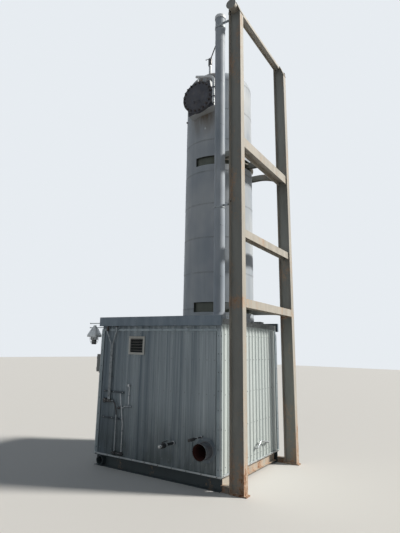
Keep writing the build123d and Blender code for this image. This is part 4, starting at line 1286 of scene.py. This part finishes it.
@made("dark_sheet", "trim")
def end_box_lid(bm):
    """Lid with a raised panel, its hinges, and two cable glands under the box."""
    face = END_BOX_FACE
    box_into(bm, (face - 0.003, 0.014, 1.762), (face, 0.206, 2.102))
    box_into(bm, (face - 0.0045, 0.026, 1.775), (face - 0.003, 0.194, 2.089))
    for z in (1.82, 2.04):
        pin(bm, 0.005, 0.05, aimed(face - 0.001, 0.011, z - 0.025, UP), 10)
    gland = ((0.02, 0), (0.02, 0.012), (0.016, 0.016), (0.016, 0.032))
    for y in (0.06, 0.15):
        turning(bm, gland, aimed(LEFT - 0.06, y, 1.757, DOWN), 8)


@made("zinc", "galvanised")
def end_box_screws(bm):
    """Screws of the lid and its round latch."""
    for y in (0.024, 0.196):
        for z in (1.772, 1.932, 2.092):
            hex_bolt(bm, at(END_BOX_FACE - 0.003, y, z), LEFTWARD, 0.0055, 0.004)
    disc(bm, at(END_BOX_FACE - 0.0045, 0.175, 1.93), LEFTWARD, 0.011, 0.012, 12)


@made("zinc", "galvanised")
def door_hinges(bm):
    """Hinges and the kick plate."""
    barrel = ((0, 0), (0.007, 0.002), (0.009, 0.004), (0.009, 0.106), (0.007, 0.108), (0, 0.11))
    for z in (0.45, 1.22, 1.99):
        lathe(bm, barrel, aimed(LEFT - 0.006, DOOR_FAR + 0.006, z, UP), 12)
        box_into(bm, (LEFT - 0.003, DOOR_FAR + 0.008, z + 0.005), (LEFT, DOOR_FAR + 0.042, z + 0.105))
    box_into(bm, (DOOR_FACE - 0.002, DOOR_NEAR, 0.215), (DOOR_FACE, DOOR_FAR, 0.37))


@made("zinc", "galvanised")
def door_handle(bm):
    """Plate, spindle, lever and key cylinder."""
    y, z = DOOR_NEAR + 0.075, 1.22
    box_into(bm, (DOOR_FACE - 0.004, y - 0.022, z - 0.11), (DOOR_FACE, y + 0.022, z + 0.06))
    spindle = ((0, 0), (0.011, 0), (0.011, 0.035), (0.013, 0.04), (0.013, 0.052), (0, 0.055))
    lathe(bm, spindle, aimed(DOOR_FACE - 0.002, y, z, LEFTWARD), 16)
    lever = ((0, 0), (0.009, 0.003), (0.0085, 0.12), (0, 0.125))
    lathe(bm, lever, aimed(DOOR_FACE - 0.048, y - 0.005, z, BACK), 12)
    disc(bm, at(DOOR_FACE - 0.004, y, z - 0.075), LEFTWARD, 0.013, 0.006, 16)


@made("rivet", "galvanised")
def door_screws(bm):
    """Rivets round the door's frame."""
    for y in (DOOR_NEAR - 0.025, DOOR_FAR + 0.025):
        for z in steps(0.3, 2.2, 0.38):
            rivet(bm, at(LEFT, y, z), LEFTWARD)
    for y in steps(DOOR_NEAR + 0.1, DOOR_FAR - 0.1, 0.165):
        rivet(bm, at(LEFT, y, 2.264), LEFTWARD)


@made("zinc", "galvanised")
def end_tube_fittings(bm):
    fitting = ((0.032, 0), (0.032, 0.006), (0.024, 0.008), (0.024, 0.026), (0.020, 0.03))
    for foot in (END_TUBE[0], END_TUBE[2]):
        turning(bm, fitting, turned(at(*foot), RIGHT), 12)
    start, knee, end = (point + END_TUBE_OUT for point in END_TUBE)
    for a, b in ((start, knee), (knee, end), (end, knee)):
        way = (b - a).normalized()
        nut(bm, 0.0185, 0.022, 0.0165, 0.025, turned(at(*(a + way * 0.045)), way), 8)


# Light and floor
FLOOR_COLOR = (0.74, 0.73, 0.71, 1)
FLOOR_BOUNCE = (0.26, 0.255, 0.25, 1)
# Colour and strength of the sky's light, and of the backdrop that the camera sees
SKY = ((0.80, 0.90, 1.0, 1), 0.14)
BACKDROP = ((0.80, 0.84, 0.88, 1), 1.0)
# Name, azimuth, elevation, strength, softness in degrees, colour
SUNS = (
    ("key", 31, 36, 3.9, 8, (1.0, 0.96, 0.89)),
    ("fill", -75, 28, 0.12, 40, (0.92, 0.96, 1.0)),
)


def seen_ray(tree):
    """1 for a ray from the camera, a reflection or through glass, and 0 for one that only lights."""
    path = tree.nodes.new("ShaderNodeLightPath")
    seen = path.outputs["Is Camera Ray"]
    for name in ("Is Glossy Ray", "Is Transmission Ray"):
        node = tree.nodes.new("ShaderNodeMath")
        node.operation = "MAXIMUM"
        tree.links.new(seen, node.inputs[0])
        tree.links.new(path.outputs[name], node.inputs[1])
        seen = node.outputs[0]
    return seen


def make_stage():
    data = bpy.data.meshes.new("floor")
    half = 60
    corners = [(-half, -half, 0), (half, -half, 0), (half, half, 0), (-half, half, 0)]
    data.from_pydata(corners, [], [(0, 1, 2, 3)])
    mat = bpy.data.materials.new("floor")
    mat.use_nodes = True
    tree = mat.node_tree
    shader = tree.nodes["Principled BSDF"]
    shade = tree.nodes.new("ShaderNodeMix")
    shade.data_type = "RGBA"
    shade.inputs[6].default_value = FLOOR_BOUNCE
    shade.inputs[7].default_value = FLOOR_COLOR
    tree.links.new(seen_ray(tree), shade.inputs["Factor"])
    tree.links.new(shade.outputs[2], shader.inputs["Base Color"])
    shader.inputs["Roughness"].default_value = 0.9
    data.materials.append(mat)
    floor = add("floor", data)


def make_lights():
    scene = bpy.context.scene
    scene.view_settings.view_transform = "Standard"
    world = bpy.data.worlds.new("world")
    scene.world = world
    world.use_nodes = True
    tree = world.node_tree
    tree.nodes.clear()
    out = tree.nodes.new("ShaderNodeOutputWorld")
    mix = tree.nodes.new("ShaderNodeMixShader")
    tree.links.new(seen_ray(tree), mix.inputs[0])
    for socket, (color, strength) in zip(mix.inputs[1:], (SKY, BACKDROP)):
        glow = tree.nodes.new("ShaderNodeBackground")
        glow.inputs["Color"].default_value = color
        glow.inputs["Strength"].default_value = strength
        tree.links.new(glow.outputs[0], socket)
    tree.links.new(mix.outputs[0], out.inputs[0])
    for name, azimuth, elevation, strength, soft, color in SUNS:
        lamp = bpy.data.lights.new(name, "SUN")
        lamp.energy = strength
        lamp.angle = math.radians(soft)
        lamp.color = color
        a, e = math.radians(azimuth), math.radians(elevation)
        toward = Vector((math.cos(a) * math.cos(e), math.sin(a) * math.cos(e), math.sin(e)))
        sun = add(name, lamp)
        sun.rotation_mode = "QUATERNION"
        sun.rotation_quaternion = toward.to_track_quat("Z", "Y")


make_camera()
make_lights()
make_stage()
dress_nodes()
for make, *finish in PIECES:
    if finish:
        piece(make, *finish)
    else:
        make()
